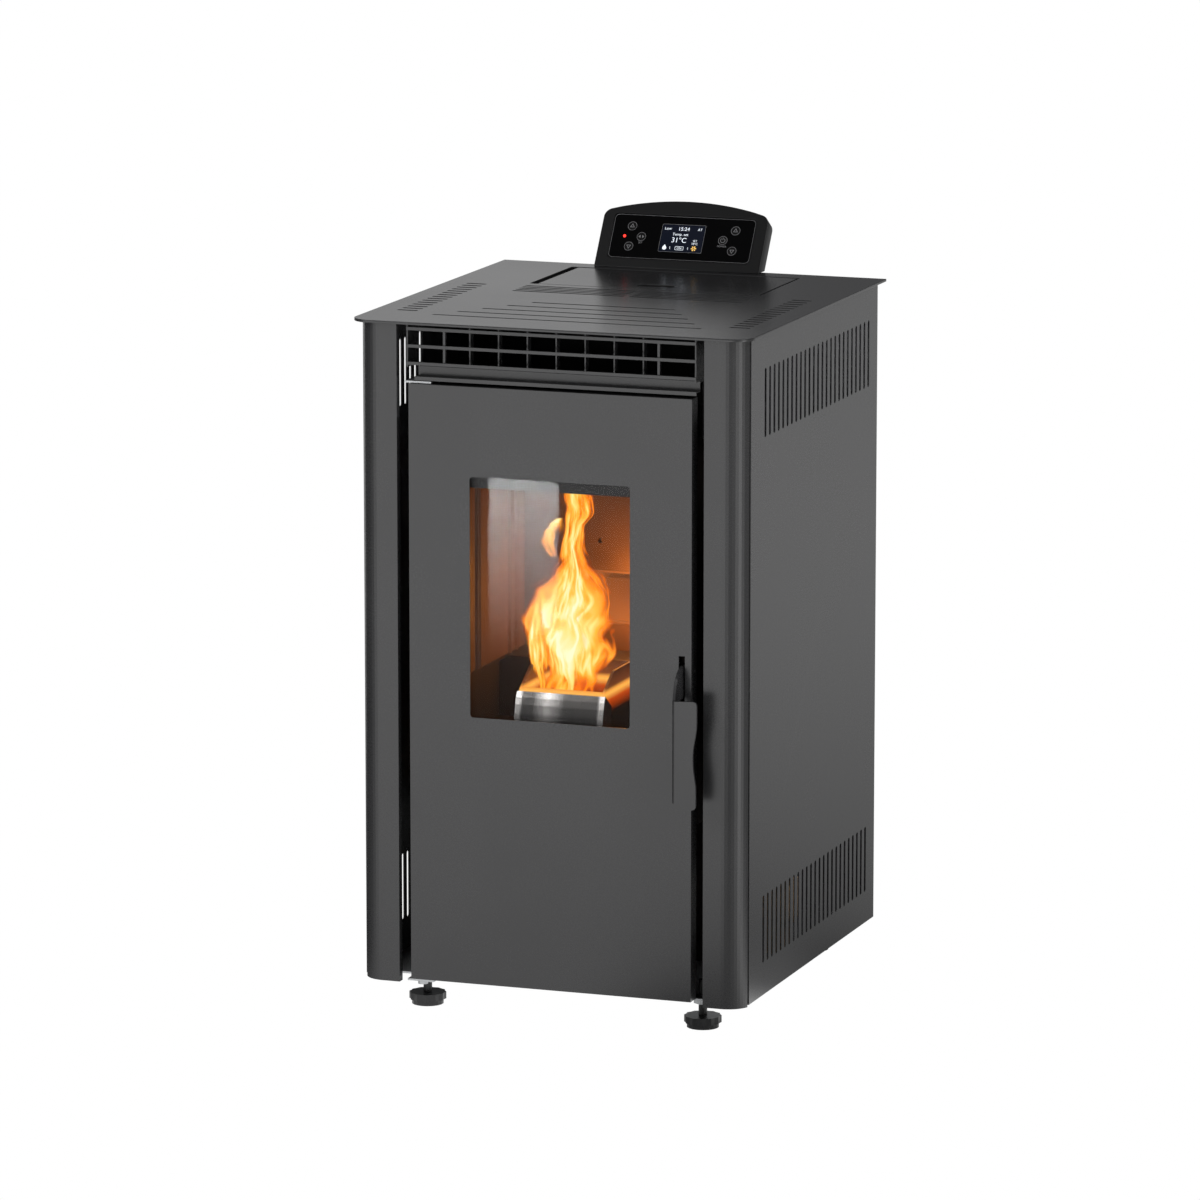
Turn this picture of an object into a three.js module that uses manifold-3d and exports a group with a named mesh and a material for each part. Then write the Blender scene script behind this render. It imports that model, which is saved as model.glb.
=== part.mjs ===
// A pellet stove: sheet-steel casing, full-height door with a ceramic window, firebox and burn pot,
// hopper with an inclined feed screw, smoke fan, room fan, control panel and levelling feet.
// Units are millimetres. X runs to the stove's right, Y to its back and Z up from the floor.
// While it is built, y = 0 is the front edge of the top plate.

import * as THREE from "three";
import { mergeVertices } from "three/addons/utils/BufferGeometryUtils.js";
import Module from "manifold-3d";

const wasm = await Module();
wasm.setup();

// ---------------------------------------------------------------- driving dimensions

// Clearances.
const GAP = 0.3; // between pieces that touch
const RUN = 0.35; // round a pin in its hole
const CUT = 2; // how far a cutting solid runs past a face

// Top plate.
const TOP_WIDTH = 450;
const TOP_DEPTH = 477;
const TOP_THICK = 3;
const TOP_HEIGHT = 755.3; // floor to the top face
const TOP_CORNER = 22;
const TOP_OVERHANG_BACK = 11.7;

// Casing.
const CASE_WIDTH = 437.8;
const CASE_FRONT = 8.3; // the columns and the door stand this far behind the plate's edge
const SHEET = 1.2;
const COLUMN_WIDTH = 45.8;
const COLUMN_SHEET = 1.5;
const COLUMN_RADIUS = 25.6;
const COLUMN_ARC = 72; // degrees of the quarter round that the column covers
const COLUMN_RETURN = 9;
const COLUMN_BOTTOM = 32.5;
const SIDE_GROOVE = 1.3;
const SIDE_BOTTOM = 34.7;
const SIDE_RETURN = 10;

// Ventilation slots in the side panels, an upper and a lower group.
const VENT_COUNT = 25;
const VENT_PITCH = 14.9;
const VENT_WIDTH = 6;
const VENT_HEIGHT = 74;
const VENT_FIRST = 75;
const VENT_UPPER = 641;
const VENT_LOWER = 70.4;

// Slots in the top plate.
const ROW_COUNT = 15;
const ROW_PITCH = 14.95;
const ROW_LENGTH = 23;
const ROW_WIDTH = 4.5;
const ROW_FIRST = 80.3;
const ROW_OFFSET = 188; // centre line of each side row from the middle
const LONG_COUNT = 5;
const LONG_FIRST = 60.8;
const LONG_PITCH = 29.5;
const LONG_HALF = 152;
const LONG_TAPER = 17.5; // each slot's half-length is this much less than the one before
const LONG_WIDTH = 3.6;
const GROUP_COUNT = 5;
const GROUP_FIRST = 254.5;
const GROUP_PITCH = 10.1;
const GROUP_LENGTH = 129;
const GROUP_WIDTH = 4;
const GROUP_BRIDGE = 6.5; // between the left and the right group

// Hopper opening and lid.
const MOUTH_HALF = 134;
const MOUTH_FRONT = 312;
const MOUTH_BACK = 449.5;
const LID_THICK = 2.5;
const LID_GAP_LEFT = 9;
const LID_GAP_RIGHT = 2.5;
const LID_GAP_FRONT = 1.5;
const LID_GAP_BACK = 4.5;
const FINGER_LENGTH = 44;
const FINGER_WIDTH = 16;
const FINGER_FROM_FRONT = 20;
const LID_PIN_RADIUS = 2;
const LID_PIN_DROP = 7.3; // pin axis below the lid's top face
const LID_PIN_INSET = 3.5; // pin axis in front of the lid's back edge
const LID_EAR = 10;

// Base and levelling feet.
const BASE_Z = 34.2;
const BASE_SHEET = 2;
const BASE_FRONT = 30;
const FOOT_INSET = 60.9; // foot axis from the casing's side
const FOOT_FRONT = 53.7;
const FOOT_BACK = 434;
const FOOT_RADIUS = 20.2;
const FOOT_LOWER_RADIUS = 17.4;
const FOOT_LOWER = 5.2;
const FOOT_HEIGHT = 12.8;
const FOOT_LOBES = 12;
const FOOT_LOBE_DEPTH = 1.3;
const STUD_RADIUS = 4.75;
const STUD_TOP = 52;
const NUT_RADIUS = 10;
const NUT_HEIGHT = 8;

// Door.
const DOOR_CLEAR = 13.5; // between the door and a column
const DOOR_BOTTOM = 37;
const DOOR_DROP = 67.4; // the door's top edge below the top plate's face
const DOOR_DEPTH = 18;
const DOOR_SHEET = 2;
const WINDOW_SIDE = 69.1; // from the door's edge to the window's
const WINDOW_BOTTOM = 330;
const WINDOW_DROP = 96.9; // the window's top edge below the door's
const WINDOW_CORNER = 3;
const HINGE_INSET = 9.6; // hinge axis from the door's left edge
const HINGE_Y = 19;
const HINGE_RADIUS = 3;
const HINGE_LENGTH = 14;
const HINGE_PLATE = 30;
const GLASS_LAP = 8; // how far the glass runs behind the door's face sheet
const GLASS_THICK = 4;
const FRAME_RING = 30; // width of the door frame round the glass
const FRAME_SKIRT = 60; // and below it
const FRAME_DEPTH = 13.4;
const RETAINER_THICK = 1.5;
const RETAINER_SIDE = 4; // how far the retainer's opening is wider than the window
const WASH_STRIP = 12.5; // height of the air-wash strip behind the window's top edge
const GASKET_WIDTH = 8;
const GASKET_THICK = 8.2;

// Door handle: a lever on a pin behind a slot in the door.
const LEVER_INSET = 10.7; // from the door's right edge
const LEVER_THICK = 3;
const LEVER_SLOT = 7;
const LEVER_SLOT_BOTTOM = 362;
const LEVER_SLOT_TOP = 412.6;
const LEVER_PIVOT_Y = 20.5;
const LEVER_PIVOT_Z = 395;
const LEVER_PIN_RADIUS = 2;
const LEVER_HUB = 7;
const LEVER_REACH = 30.3; // the grip stands this far in front of the door
const GRIP_TOP = 371.5;
const GRIP_BOTTOM = 253.5;
const GRIP_WIDTH = 28.5;
const GRIP_WAIST = 4.3;
const GRIP_BEND = 5;
const GRIP_FLANGE = 12;

// Firebox.
const BOX_HALF = 114;
const BOX_FRONT = 33;
const BOX_BACK = 226;
const BOX_BOTTOM = 196;
const BOX_TOP = 640;
const BOX_WALL = 2.5;
const FLANGE_CLEAR = 3.6; // the firebox front ends this far inside the door's edges
const FIRE_HALF = 105; // opening in the firebox front
const FIRE_BOTTOM = 280;
const FIRE_TOP = 606;
const LINER_THICK = 6;
const LEDGE_Z = 370; // the liners stand on this ledge
const LEDGE_FRONT = 153;
const RIB_HEIGHT = 3;
const RIB_WIDTH = 5;
const RIBS = [66, 74, 167, 187]; // places of the ribs on each side liner, from the plate's edge
const LEG_X = 98; // legs under the firebox
const LEG_FRONT = 52;
const LEG_BACK = 205;
const PROBE_X = -17.5;
const PROBE_Z = 491;
const PROBE_RADIUS = 3;

// Burn pot and the polished shield in front of it.
const POT_HALF = 48.5;
const POT_FRONT = 46;
const POT_BACK = 138;
const POT_BOTTOM = 306;
const POT_RIM = 357;
const POT_SIDE = 377;
const POT_WALL = 3;
const SPIGOT = 6; // the pot steps in this much below its floor
const POT_SLOPE = 32;
const POT_HOLES = 4;
const POT_HOLE_RADIUS = 3.5;
const TRAY_Z = 300;
const TRAY_THICK = 3;
const SHIELD_SHEET = 1.5;
const SHIELD_BULGE = 14;
const SHIELD_BOTTOM = 285;

// Ash drawer.
const DRAWER_HALF = 94;
const DRAWER_BOTTOM = 202;
const DRAWER_TOP = 252;
const DRAWER_BACK = 200;
const DRAWER_SHEET = 1.5;
const DRAWER_FACE_MARGIN = 6;
const DRAWER_PULL = 50;

// Warm-air grille and the folded ledge under it.
const GRILLE_CLEAR = 10.1; // between the grille and a column
const GRILLE_FRONT = 11.2;
const GRILLE_BAR = 3.3;
const GRILLE_ROWS = 3;
const GRILLE_DROP = 8.7; // the top bar's middle below the top plate's face
const GRILLE_ROW_PITCH = 18.65;
const GRILLE_POST_X = 120.7;
const GRILLE_POST = 2.6;
const VANE_COUNT = 7;
const VANE_PITCH = 32.6;
const VANE_THICK = 1.5;
const VANE_FRONT = 29;
const VANE_DEPTH = 12;
const LEDGE_SHORT = 9; // the ledge's left end stops this far short of the grille's

// Hopper, feed screw and drop chute.
const HOPPER_HALF = 141;
const HOPPER_FRONT = 309;
const HOPPER_BACK = 457;
const HOPPER_SHEET = 1.5;
const HOPPER_BEND_Z = 560;
const HOPPER_RIM = 6;
const FEED_ANGLE = 58; // degrees above level
const FEED_Y = 392; // lower end of the screw's axis
const FEED_Z = 300;
const FEED_LENGTH = 250;
const FEED_RADIUS = 24;
const FEED_WALL = 2;
const COLLAR_HALF = 24;
const COLLAR_FRONT = 360;
const COLLAR_BACK = 416;
const COLLAR_TOP = 400;
const SCREW_RADIUS = 19.5;
const SCREW_SHAFT = 6;
const SCREW_PITCH = 38;
const SCREW_BLADE = 2.5;
const SCREW_STEPS = 9; // steps in one turn of the flight
const GEAR_SIZE = 54;
const GEAR_LENGTH = 30;
const GEAR_MOTOR_RADIUS = 24;
const GEAR_MOTOR_LENGTH = 38;
const CHUTE_HALF = 26;
const CHUTE_WALL = 2;

// Smoke fan and its outlet.
const SMOKE_INSET = 53.9; // left face of the housing from the casing's side
const SMOKE_WIDTH = 60;
const SMOKE_Y = 322;
const SMOKE_Z = 225;
const SMOKE_RADIUS = 65;
const SMOKE_WALL = 3;
const SMOKE_EYE = 26;
const SMOKE_BLADES = 8;
const SMOKE_MOTOR_RADIUS = 33;
const SMOKE_MOTOR_LENGTH = 36;
const FLUE_RADIUS = 40;
const FLUE_REACH = 36; // how far the outlet stands behind the back panel
const PIPE_WALL = 1.5;

// Combustion air inlet.
const INLET_X = 70;
const INLET_Z = 272;
const INLET_RADIUS = 25;

// Room fan: a long drum blower under the feed screw.
const ROOM_LEFT = -66;
const ROOM_WIDTH = 222;
const ROOM_Y = 268;
const ROOM_Z = 96;
const ROOM_DRUM = 30;
const ROOM_BLADES = 10;
const ROOM_HOUSING = 40;
const ROOM_MOTOR_RADIUS = 26;
const ROOM_MOTOR_LENGTH = 34;
const INTAKE_COUNT = 12; // slots in the back panel behind the fan
const INTAKE_PITCH = 14;

// Control panel.
const PANEL_X = -113.1;
const PANEL_Y = 462.4;
const PANEL_WIDTH = 193.5;
const PANEL_SIDE = 66.4; // slanted height of the side edges
const PANEL_ARCH = 18.1; // rise of the arched top above the side edges
const PANEL_CORNER = 9;
const PANEL_DEPTH = 20;
const PANEL_LEAN = 33.1; // degrees back from upright
const FACE_LEFT = 13;
const FACE_WIDTH = 167.5;
const FACE_BOTTOM = 11.5;
const FACE_HEIGHT = 55;
const FACE_CORNER = 6;
const FACE_DEPTH = 2.6;
const OVERLAY_THICK = 1.5;
const LCD_WIDTH = 49.6;
const LCD_HEIGHT = 33;
const LCD_DEPTH = 4;
const KEY_RADIUS = 5.5;
const KEY_THICK = 1.4;
const KEY_TRAVEL = 0.5;
const KEY_OUTER = 60.8; // outer keys from the middle of the face
const KEY_INNER = 48;
const KEY_RISE = 12.5;
const LED_RADIUS = 1.6;
const LED_OFFSET = 68;

// Electrics.
const SOCKET_X = 165;
const SOCKET_Z = 86;
const SOCKET_WIDTH = 28;
const SOCKET_HEIGHT = 22;
const SOCKET_DEPTH = 24;
const ROCKER_WIDTH = 12;
const ROCKER_HEIGHT = 20;
const BOARD_WIDTH = 150;
const BOARD_HEIGHT = 110;
const BOARD_Y = 280;
const BOARD_Z = 450;
const BOARD_THICK = 1.6;
const BOARD_STANDOFF = 8;
const IGNITER_RADIUS = 5;
const IGNITER_Z = 322;

// ---------------------------------------------------------------- derived places

const caseHalf = CASE_WIDTH / 2;
const caseBack = TOP_DEPTH - TOP_OVERHANG_BACK;
const plateUnder = TOP_HEIGHT - TOP_THICK;
const columnInner = caseHalf - COLUMN_WIDTH;
const columnTop = plateUnder - GAP;
const arcX = caseHalf - COLUMN_RADIUS;
const arcY = CASE_FRONT + COLUMN_RADIUS;
const arcEnd = THREE.MathUtils.degToRad(COLUMN_ARC);
const sideFront = arcY - COLUMN_RADIUS * Math.cos(arcEnd) + SIDE_GROOVE;
const baseTop = BASE_Z + BASE_SHEET;
const footX = caseHalf - FOOT_INSET;
const doorHalf = columnInner - DOOR_CLEAR;
const doorTop = TOP_HEIGHT - DOOR_DROP;
const windowHalf = doorHalf - WINDOW_SIDE;
const windowTop = doorTop - WINDOW_DROP;
const smokeX = SMOKE_INSET - caseHalf;
const hingeX = HINGE_INSET - doorHalf;
const leverX = doorHalf - LEVER_INSET;
const flangeHalf = doorHalf - FLANGE_CLEAR;
const flangeTop = doorTop - 1.9;
const grilleHalf = columnInner - GRILLE_CLEAR;
const grilleTopBar = TOP_HEIGHT - GRILLE_DROP;
const ledgeLeft = LEDGE_SHORT - grilleHalf;
const ledgeRight = grilleHalf;
const doorInner = CASE_FRONT + DOOR_SHEET;
const flangeBack = BOX_FRONT + BOX_WALL;

// ---------------------------------------------------------------- shape helpers

// A closed box between two corners.
function box(x0, x1, y0, y1, z0, z1) {
  const g = new THREE.BoxGeometry(1, 1, 1);
  const p = g.getAttribute("position");
  for (let i = 0; i < p.count; i++) {
    p.setXYZ(i, p.getX(i) < 0 ? x0 : x1, p.getY(i) < 0 ? y0 : y1, p.getZ(i) < 0 ? z0 : z1);
  }
  return g;
}

// A cylinder of radius r from point a to point b.
function rod(a, b, r, sides = 20, r2 = r) {
  const from = new THREE.Vector3(...a);
  const to = new THREE.Vector3(...b);
  const way = to.clone().sub(from);
  const g = new THREE.CylinderGeometry(r2, r, way.length(), sides);
  const turn = new THREE.Quaternion().setFromUnitVectors(new THREE.Vector3(0, 1, 0), way.clone().normalize());
  return g.applyQuaternion(turn).translate(...from.add(to).multiplyScalar(0.5).toArray());
}

// An outline drawn in XY, raised from z0 to z1.
function raise(shape, z0, z1, curveSegments = 8) {
  const g = new THREE.ExtrudeGeometry(shape, { depth: z1 - z0, bevelEnabled: false, curveSegments });
  return g.translate(0, 0, z0);
}

// An outline drawn in XZ, swept from y0 to y1.
function alongY(shape, y0, y1, curveSegments = 8) {
  const g = raise(shape, -y1, -y0, curveSegments);
  return g.rotateX(Math.PI / 2);
}

// An outline drawn in YZ, swept from x0 to x1.
function alongX(shape, x0, x1, curveSegments = 8) {
  const g = raise(shape, x0, x1, curveSegments);
  return g.rotateX(Math.PI / 2).rotateZ(Math.PI / 2);
}

function outline(points) {
  return new THREE.Shape(points.map(([u, v]) => new THREE.Vector2(u, v)));
}

// A rectangle with corners of radius r, each corner cut in n steps.
function rounded(u0, u1, v0, v1, r, n = 3, Kind = THREE.Shape) {
  const quarter = Math.PI / 2;
  const points = [
    ...arc(u1 - r, v0 + r, r, -quarter, 0, n),
    ...arc(u1 - r, v1 - r, r, 0, quarter, n),
    ...arc(u0 + r, v1 - r, r, quarter, 2 * quarter, n),
    ...arc(u0 + r, v0 + r, r, 2 * quarter, 3 * quarter, n),
  ];
  const s = new Kind();
  s.setFromPoints(points.map(([u, v]) => new THREE.Vector2(u, v)));
  return s;
}

// The same as a hole in an outline.
function opening(u0, u1, v0, v1, r, n = 3) {
  return rounded(u0, u1, v0, v1, r, n, THREE.Path);
}

// A square-ended slot as a hole in an outline.
function slot(u0, u1, v0, v1) {
  const hole = new THREE.Path();
  hole.setFromPoints([[u0, v0], [u1, v0], [u1, v1], [u0, v1]].map(([u, v]) => new THREE.Vector2(u, v)));
  return hole;
}

// A round hole in an outline.
function circle(u, v, r, sides) {
  const hole = new THREE.Path();
  const points = arc(u, v, r, 0, Math.PI * 2, sides).slice(0, sides);
  hole.setFromPoints(points.map(([x, y]) => new THREE.Vector2(x, y)));
  return hole;
}

// A folded strip: a path given as points, thickened by t to its left.
function folded(path, t) {
  const pts = path.map(([u, v]) => new THREE.Vector2(u, v));
  const left = pts.map((p, i) => {
    const before = pts[Math.max(i - 1, 0)];
    const after = pts[Math.min(i + 1, pts.length - 1)];
    const a = i > 0 ? p.clone().sub(before).normalize() : after.clone().sub(p).normalize();
    const b = i < pts.length - 1 ? after.clone().sub(p).normalize() : a;
    const normal = new THREE.Vector2(-a.y - b.y, a.x + b.x).normalize();
    const reach = t / Math.max(0.3, normal.dot(new THREE.Vector2(-a.y, a.x)));
    return p.clone().addScaledVector(normal, reach);
  });
  return new THREE.Shape([...pts, ...left.reverse()]);
}

// Points of an arc round (u, v), angles in radians.
function arc(u, v, r, from, to, steps) {
  return Array.from({ length: steps + 1 }, (_, i) => {
    const a = from + ((to - from) * i) / steps;
    return [u + r * Math.cos(a), v + r * Math.sin(a)];
  });
}

// ---------------------------------------------------------------- solids

// A closed geometry as a solid that can be joined and cut.
function solid(geometry) {
  if (geometry instanceof wasm.Manifold) return geometry;
  const bare = new THREE.BufferGeometry();
  bare.setAttribute("position", geometry.getAttribute("position"));
  if (geometry.index) bare.setIndex(geometry.index);
  const merged = mergeVertices(bare, 1e-4);
  return new wasm.Manifold(
    new wasm.Mesh({
      numProp: 3,
      vertProperties: merged.attributes.position.array,
      triVerts: new Uint32Array(merged.index.array),
    }),
  );
}

function join(...pieces) {
  return pieces.map(solid).reduce((all, piece) => all.add(piece));
}

function cut(body, ...tools) {
  return tools.map(solid).reduce((rest, tool) => rest.subtract(tool), solid(body));
}

function toGeometry(body) {
  const mesh = body.getMesh();
  const g = new THREE.BufferGeometry();
  g.setAttribute("position", new THREE.BufferAttribute(new Float32Array(mesh.vertProperties), 3));
  g.setIndex(new THREE.BufferAttribute(new Uint32Array(mesh.triVerts), 1));
  g.computeVertexNormals();
  return g;
}

// ---------------------------------------------------------------- materials

function finish(color, roughness, metalness) {
  return () => new THREE.MeshStandardMaterial({ color, roughness, metalness });
}
const enamel = finish(0x4d4e50, 0.42, 0.5);
const topEnamel = finish(0x55565a, 0.18, 0.55);
const darkSteel = finish(0x26262a, 0.6, 0.7);
const galvanised = finish(0x9a9da0, 0.45, 0.85);
const fireSteel = finish(0x2e2826, 0.75, 0.5);
const vermiculite = finish(0x4a3a32, 0.9, 0);
const castIron = finish(0x2b2a2a, 0.7, 0.6);
const polished = finish(0x8b8886, 0.16, 1);
const blackPlastic = finish(0x161617, 0.45, 0);
const glassy = finish(0x0d0f11, 0.08, 0);
const rubber = finish(0x101011, 0.8, 0);
const rope = finish(0xb9b3a6, 0.95, 0);
const ceramic = finish(0xe3ddd0, 0.6, 0);
const boardGreen = finish(0x1c5a38, 0.5, 0);
const copper = finish(0xa56a3a, 0.4, 0.9);
const redLight = finish(0xe01810, 0.3, 0);

const stove = new THREE.Group();

function place(parent, name, material, body) {
  const geometry = body instanceof wasm.Manifold ? toGeometry(body) : body;
  const mesh = new THREE.Mesh(geometry, material());
  mesh.name = name;
  parent.add(mesh);
  return mesh;
}

// ---------------------------------------------------------------- casing

// The top plate: rounded front corners, three families of slots and the hopper opening.
function topPlate() {
  const half = TOP_WIDTH / 2;
  const r = TOP_CORNER;
  const s = outline([
    [half, TOP_DEPTH],
    [-half, TOP_DEPTH],
    ...arc(-half + r, r, r, Math.PI, Math.PI * 1.5, 8),
    ...arc(half - r, r, r, -Math.PI / 2, 0, 8),
  ]);
  s.holes.push(opening(-MOUTH_HALF, MOUTH_HALF, MOUTH_FRONT, MOUTH_BACK, 2, 2));
  const slots = [];
  const punch = (x, y, length, width) => {
    slots.push(box(x - length / 2, x + length / 2, y - width / 2, y + width / 2, plateUnder - CUT,
      TOP_HEIGHT + CUT));
  };
  for (let i = 0; i < ROW_COUNT; i++) {
    const y = ROW_FIRST + i * ROW_PITCH;
    for (const side of [-1, 1]) punch(side * ROW_OFFSET, y, ROW_LENGTH, ROW_WIDTH);
  }
  for (let i = 0; i < LONG_COUNT; i++) {
    const y = LONG_FIRST + i * LONG_PITCH;
    punch(0, y, 2 * (LONG_HALF - i * LONG_TAPER), LONG_WIDTH);
  }
  for (let i = 0; i < GROUP_COUNT; i++) {
    const y = GROUP_FIRST + i * GROUP_PITCH;
    for (const side of [-1, 1]) {
      punch((side * (GROUP_BRIDGE + GROUP_LENGTH)) / 2, y, GROUP_LENGTH, GROUP_WIDTH);
    }
  }
  const plate = cut(raise(s, plateUnder, TOP_HEIGHT), ...slots);
  return join(plate, ...[-1, 1].map(lidEar));
}

// Lid hinge axis, shared by the ears and the lid.
const lidTop = TOP_HEIGHT;
const lidBack = MOUTH_BACK - LID_GAP_BACK;
const lidAxisY = lidBack - LID_PIN_INSET;
const lidAxisZ = lidTop - LID_PIN_DROP;

// An ear under the plate that holds one of the lid's pins.
function lidEar(side) {
  const inner = side * MOUTH_HALF;
  const outer = side * (MOUTH_HALF + 2.5);
  const ear = box(
    Math.min(inner, outer),
    Math.max(inner, outer),
    lidAxisY - LID_EAR / 2,
    lidAxisY + LID_EAR / 2,
    lidAxisZ - LID_EAR / 2,
    plateUnder + 0.5,
  );
  const hole = rod([inner - side * CUT, lidAxisY, lidAxisZ], [outer + side * CUT, lidAxisY, lidAxisZ],
    LID_PIN_RADIUS + RUN, 12);
  return cut(ear, hole);
}

// The hopper lid, with a finger slot and two hinge pins on folded tabs.
function hopperLid() {
  const left = -MOUTH_HALF + LID_GAP_LEFT;
  const right = MOUTH_HALF - LID_GAP_RIGHT;
  const front = MOUTH_FRONT + LID_GAP_FRONT;
  const s = rounded(left, right, front, lidBack, 1.5);
  const middle = (left + right) / 2;
  s.holes.push(
    opening(
      middle - FINGER_LENGTH / 2,
      middle + FINGER_LENGTH / 2,
      front + FINGER_FROM_FRONT,
      front + FINGER_FROM_FRONT + FINGER_WIDTH,
      5),
  );
  const sheet = raise(s, lidTop - LID_THICK, lidTop, 4);
  const tabs = [
    [left, -MOUTH_HALF - 2, left + 2],
    [right, MOUTH_HALF + 2, right - 2],
  ].map(([edge, pinEnd, inner]) => {
    const tab = box(Math.min(edge, inner), Math.max(edge, inner), lidAxisY - 3.5, lidAxisY + 3.5,
      lidAxisZ - 3.5, lidTop - LID_THICK + 0.5);
    return join(tab, rod([inner, lidAxisY, lidAxisZ], [pinEnd, lidAxisY, lidAxisZ], LID_PIN_RADIUS, 12));
  });
  return join(sheet, ...tabs);
}

// A side panel with its two groups of vertical slots and folded front and back edges.
function sidePanel(side) {
  const slab = (depth, y0, y1, z0 = SIDE_BOTTOM, z1 = columnTop) => {
    const a = side * caseHalf;
    const b = side * (caseHalf - depth);
    return box(Math.min(a, b), Math.max(a, b), y0, y1, z0, z1);
  };
  const vents = [];
  for (let i = 0; i < VENT_COUNT; i++) {
    const y = VENT_FIRST + i * VENT_PITCH;
    for (const z of [VENT_LOWER, VENT_UPPER]) {
      const vent = slab(SHEET + CUT, y - VENT_WIDTH / 2, y + VENT_WIDTH / 2, z, z + VENT_HEIGHT);
      vents.push(vent.translate((side * CUT) / 2, 0, 0));
    }
  }
  const sheet = cut(slab(SHEET, sideFront, caseBack), ...vents);
  return join(sheet, slab(SIDE_RETURN, sideFront, sideFront + SHEET),
    slab(SIDE_RETURN, caseBack - SHEET, caseBack));
}

// A front column: flat face, quarter round and a folded return on each edge.
function frontColumn(side) {
  const round = arc(arcX, arcY, COLUMN_RADIUS, -Math.PI / 2, -Math.PI / 2 + arcEnd, 9);
  const [endX, endY] = round[round.length - 1];
  const path = [
    [columnInner, CASE_FRONT + COLUMN_RETURN],
    [columnInner, CASE_FRONT],
    ...round,
    [endX - COLUMN_RETURN, endY + 0.4],
  ].map(([x, y]) => [side * x, y]);
  const shape = folded(path, side * COLUMN_SHEET);
  return raise(shape, COLUMN_BOTTOM, columnTop);
}

// The base plate: welded hexagonal nuts for the feet and a tongue for the door's lower hinge pin.
const feet = [
  ["front_left", -footX, FOOT_FRONT],
  ["front_right", footX, FOOT_FRONT],
  ["rear_left", -footX, FOOT_BACK],
  ["rear_right", footX, FOOT_BACK],
];
function basePlate() {
  const half = caseHalf - SHEET - GAP;
  const back = caseBack - SHEET - GAP;
  const s = outline([
    [-half, BASE_FRONT + SIDE_RETURN],
    [hingeX - HINGE_PLATE / 2, BASE_FRONT + SIDE_RETURN],
    [hingeX - HINGE_PLATE / 2, HINGE_Y - HINGE_RADIUS * 2.5],
    [hingeX + HINGE_PLATE / 2, HINGE_Y - HINGE_RADIUS * 2.5],
    [hingeX + HINGE_PLATE / 2, BASE_FRONT],
    [columnInner - CUT, BASE_FRONT],
    [columnInner - CUT, BASE_FRONT + SIDE_RETURN],
    [half, BASE_FRONT + SIDE_RETURN],
    [half, back],
    [-half, back],
  ]);
  const plate = raise(s, BASE_Z, baseTop);
  const nuts = feet.map(([, x, y]) => rod([x, y, BASE_Z - NUT_HEIGHT], [x, y, BASE_Z + 0.5], NUT_RADIUS, 6));
  const bores = feet.map(([, x, y]) =>
    rod([x, y, BASE_Z - NUT_HEIGHT - CUT], [x, y, baseTop + CUT], STUD_RADIUS + RUN, 12),
  );
  const pinHole = rod([hingeX, HINGE_Y, BASE_Z - CUT], [hingeX, HINGE_Y, baseTop + CUT],
    HINGE_RADIUS + GAP, 16);
  return cut(join(plate, ...nuts), ...bores, pinHole);
}

// A levelling foot: a lobed pad with its stud.
function foot(x, y) {
  const lobes = new THREE.Shape(
    Array.from({ length: FOOT_LOBES * 2 }, (_, i) => {
      const a = (i / (FOOT_LOBES * 2)) * Math.PI * 2;
      const r = FOOT_RADIUS - FOOT_LOBE_DEPTH * (0.5 + 0.5 * Math.cos(FOOT_LOBES * a));
      return new THREE.Vector2(r * Math.cos(a), r * Math.sin(a));
    }),
  );
  const upper = raise(lobes, FOOT_LOWER, FOOT_HEIGHT);
  const lower = rod([0, 0, 0], [0, 0, FOOT_LOWER + 0.5], FOOT_LOWER_RADIUS, 18);
  const stud = rod([0, 0, FOOT_LOWER], [0, 0, STUD_TOP], STUD_RADIUS, 12);
  return join(upper, lower, stud).translate([x, y, 0]);
}

// The back panel: air outlets, fan intake slots and the mains inlet's cut-out.
const flueX = smokeX + SMOKE_WIDTH / 2;
const flueZ = SMOKE_Z - SMOKE_RADIUS + FLUE_RADIUS;
const socketZ = SOCKET_Z;
const rockerZ = SOCKET_Z + SOCKET_HEIGHT / 2 + ROCKER_HEIGHT / 2 + 8;
function rearPanel() {
  const half = caseHalf - SHEET - GAP;
  const s = outline([
    [-half, baseTop + GAP],
    [half, baseTop + GAP],
    [half, columnTop],
    [-half, columnTop],
  ]);
  for (const [x, z, r] of [[flueX, flueZ, FLUE_RADIUS], [INLET_X, INLET_Z, INLET_RADIUS]]) {
    s.holes.push(circle(x, z, r + 1.5, 24));
  }
  const inletHalf = SOCKET_WIDTH / 2 + GAP;
  s.holes.push(
    opening(SOCKET_X - inletHalf, SOCKET_X + inletHalf, socketZ - SOCKET_HEIGHT / 2 - GAP,
      rockerZ + ROCKER_HEIGHT / 2 + 2 + GAP, 1),
  );
  const y0 = caseBack - SHEET * 2 - GAP;
  const y1 = y0 + SHEET;
  const intakes = Array.from({ length: INTAKE_COUNT }, (_, i) => {
    const x = ROOM_LEFT + 20 + i * INTAKE_PITCH;
    return box(x, x + INTAKE_PITCH / 2, y0 - CUT, y1 + CUT, ROOM_Z - ROOM_DRUM, ROOM_Z + ROOM_DRUM);
  });
  return cut(alongY(s, y0, y1), ...intakes);
}

// ---------------------------------------------------------------- warm-air grille and ledge

const ledgeTop = grilleTopBar - GRILLE_ROW_PITCH * (GRILLE_ROWS - 1) - GRILLE_BAR / 2 - 2.7;

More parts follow.
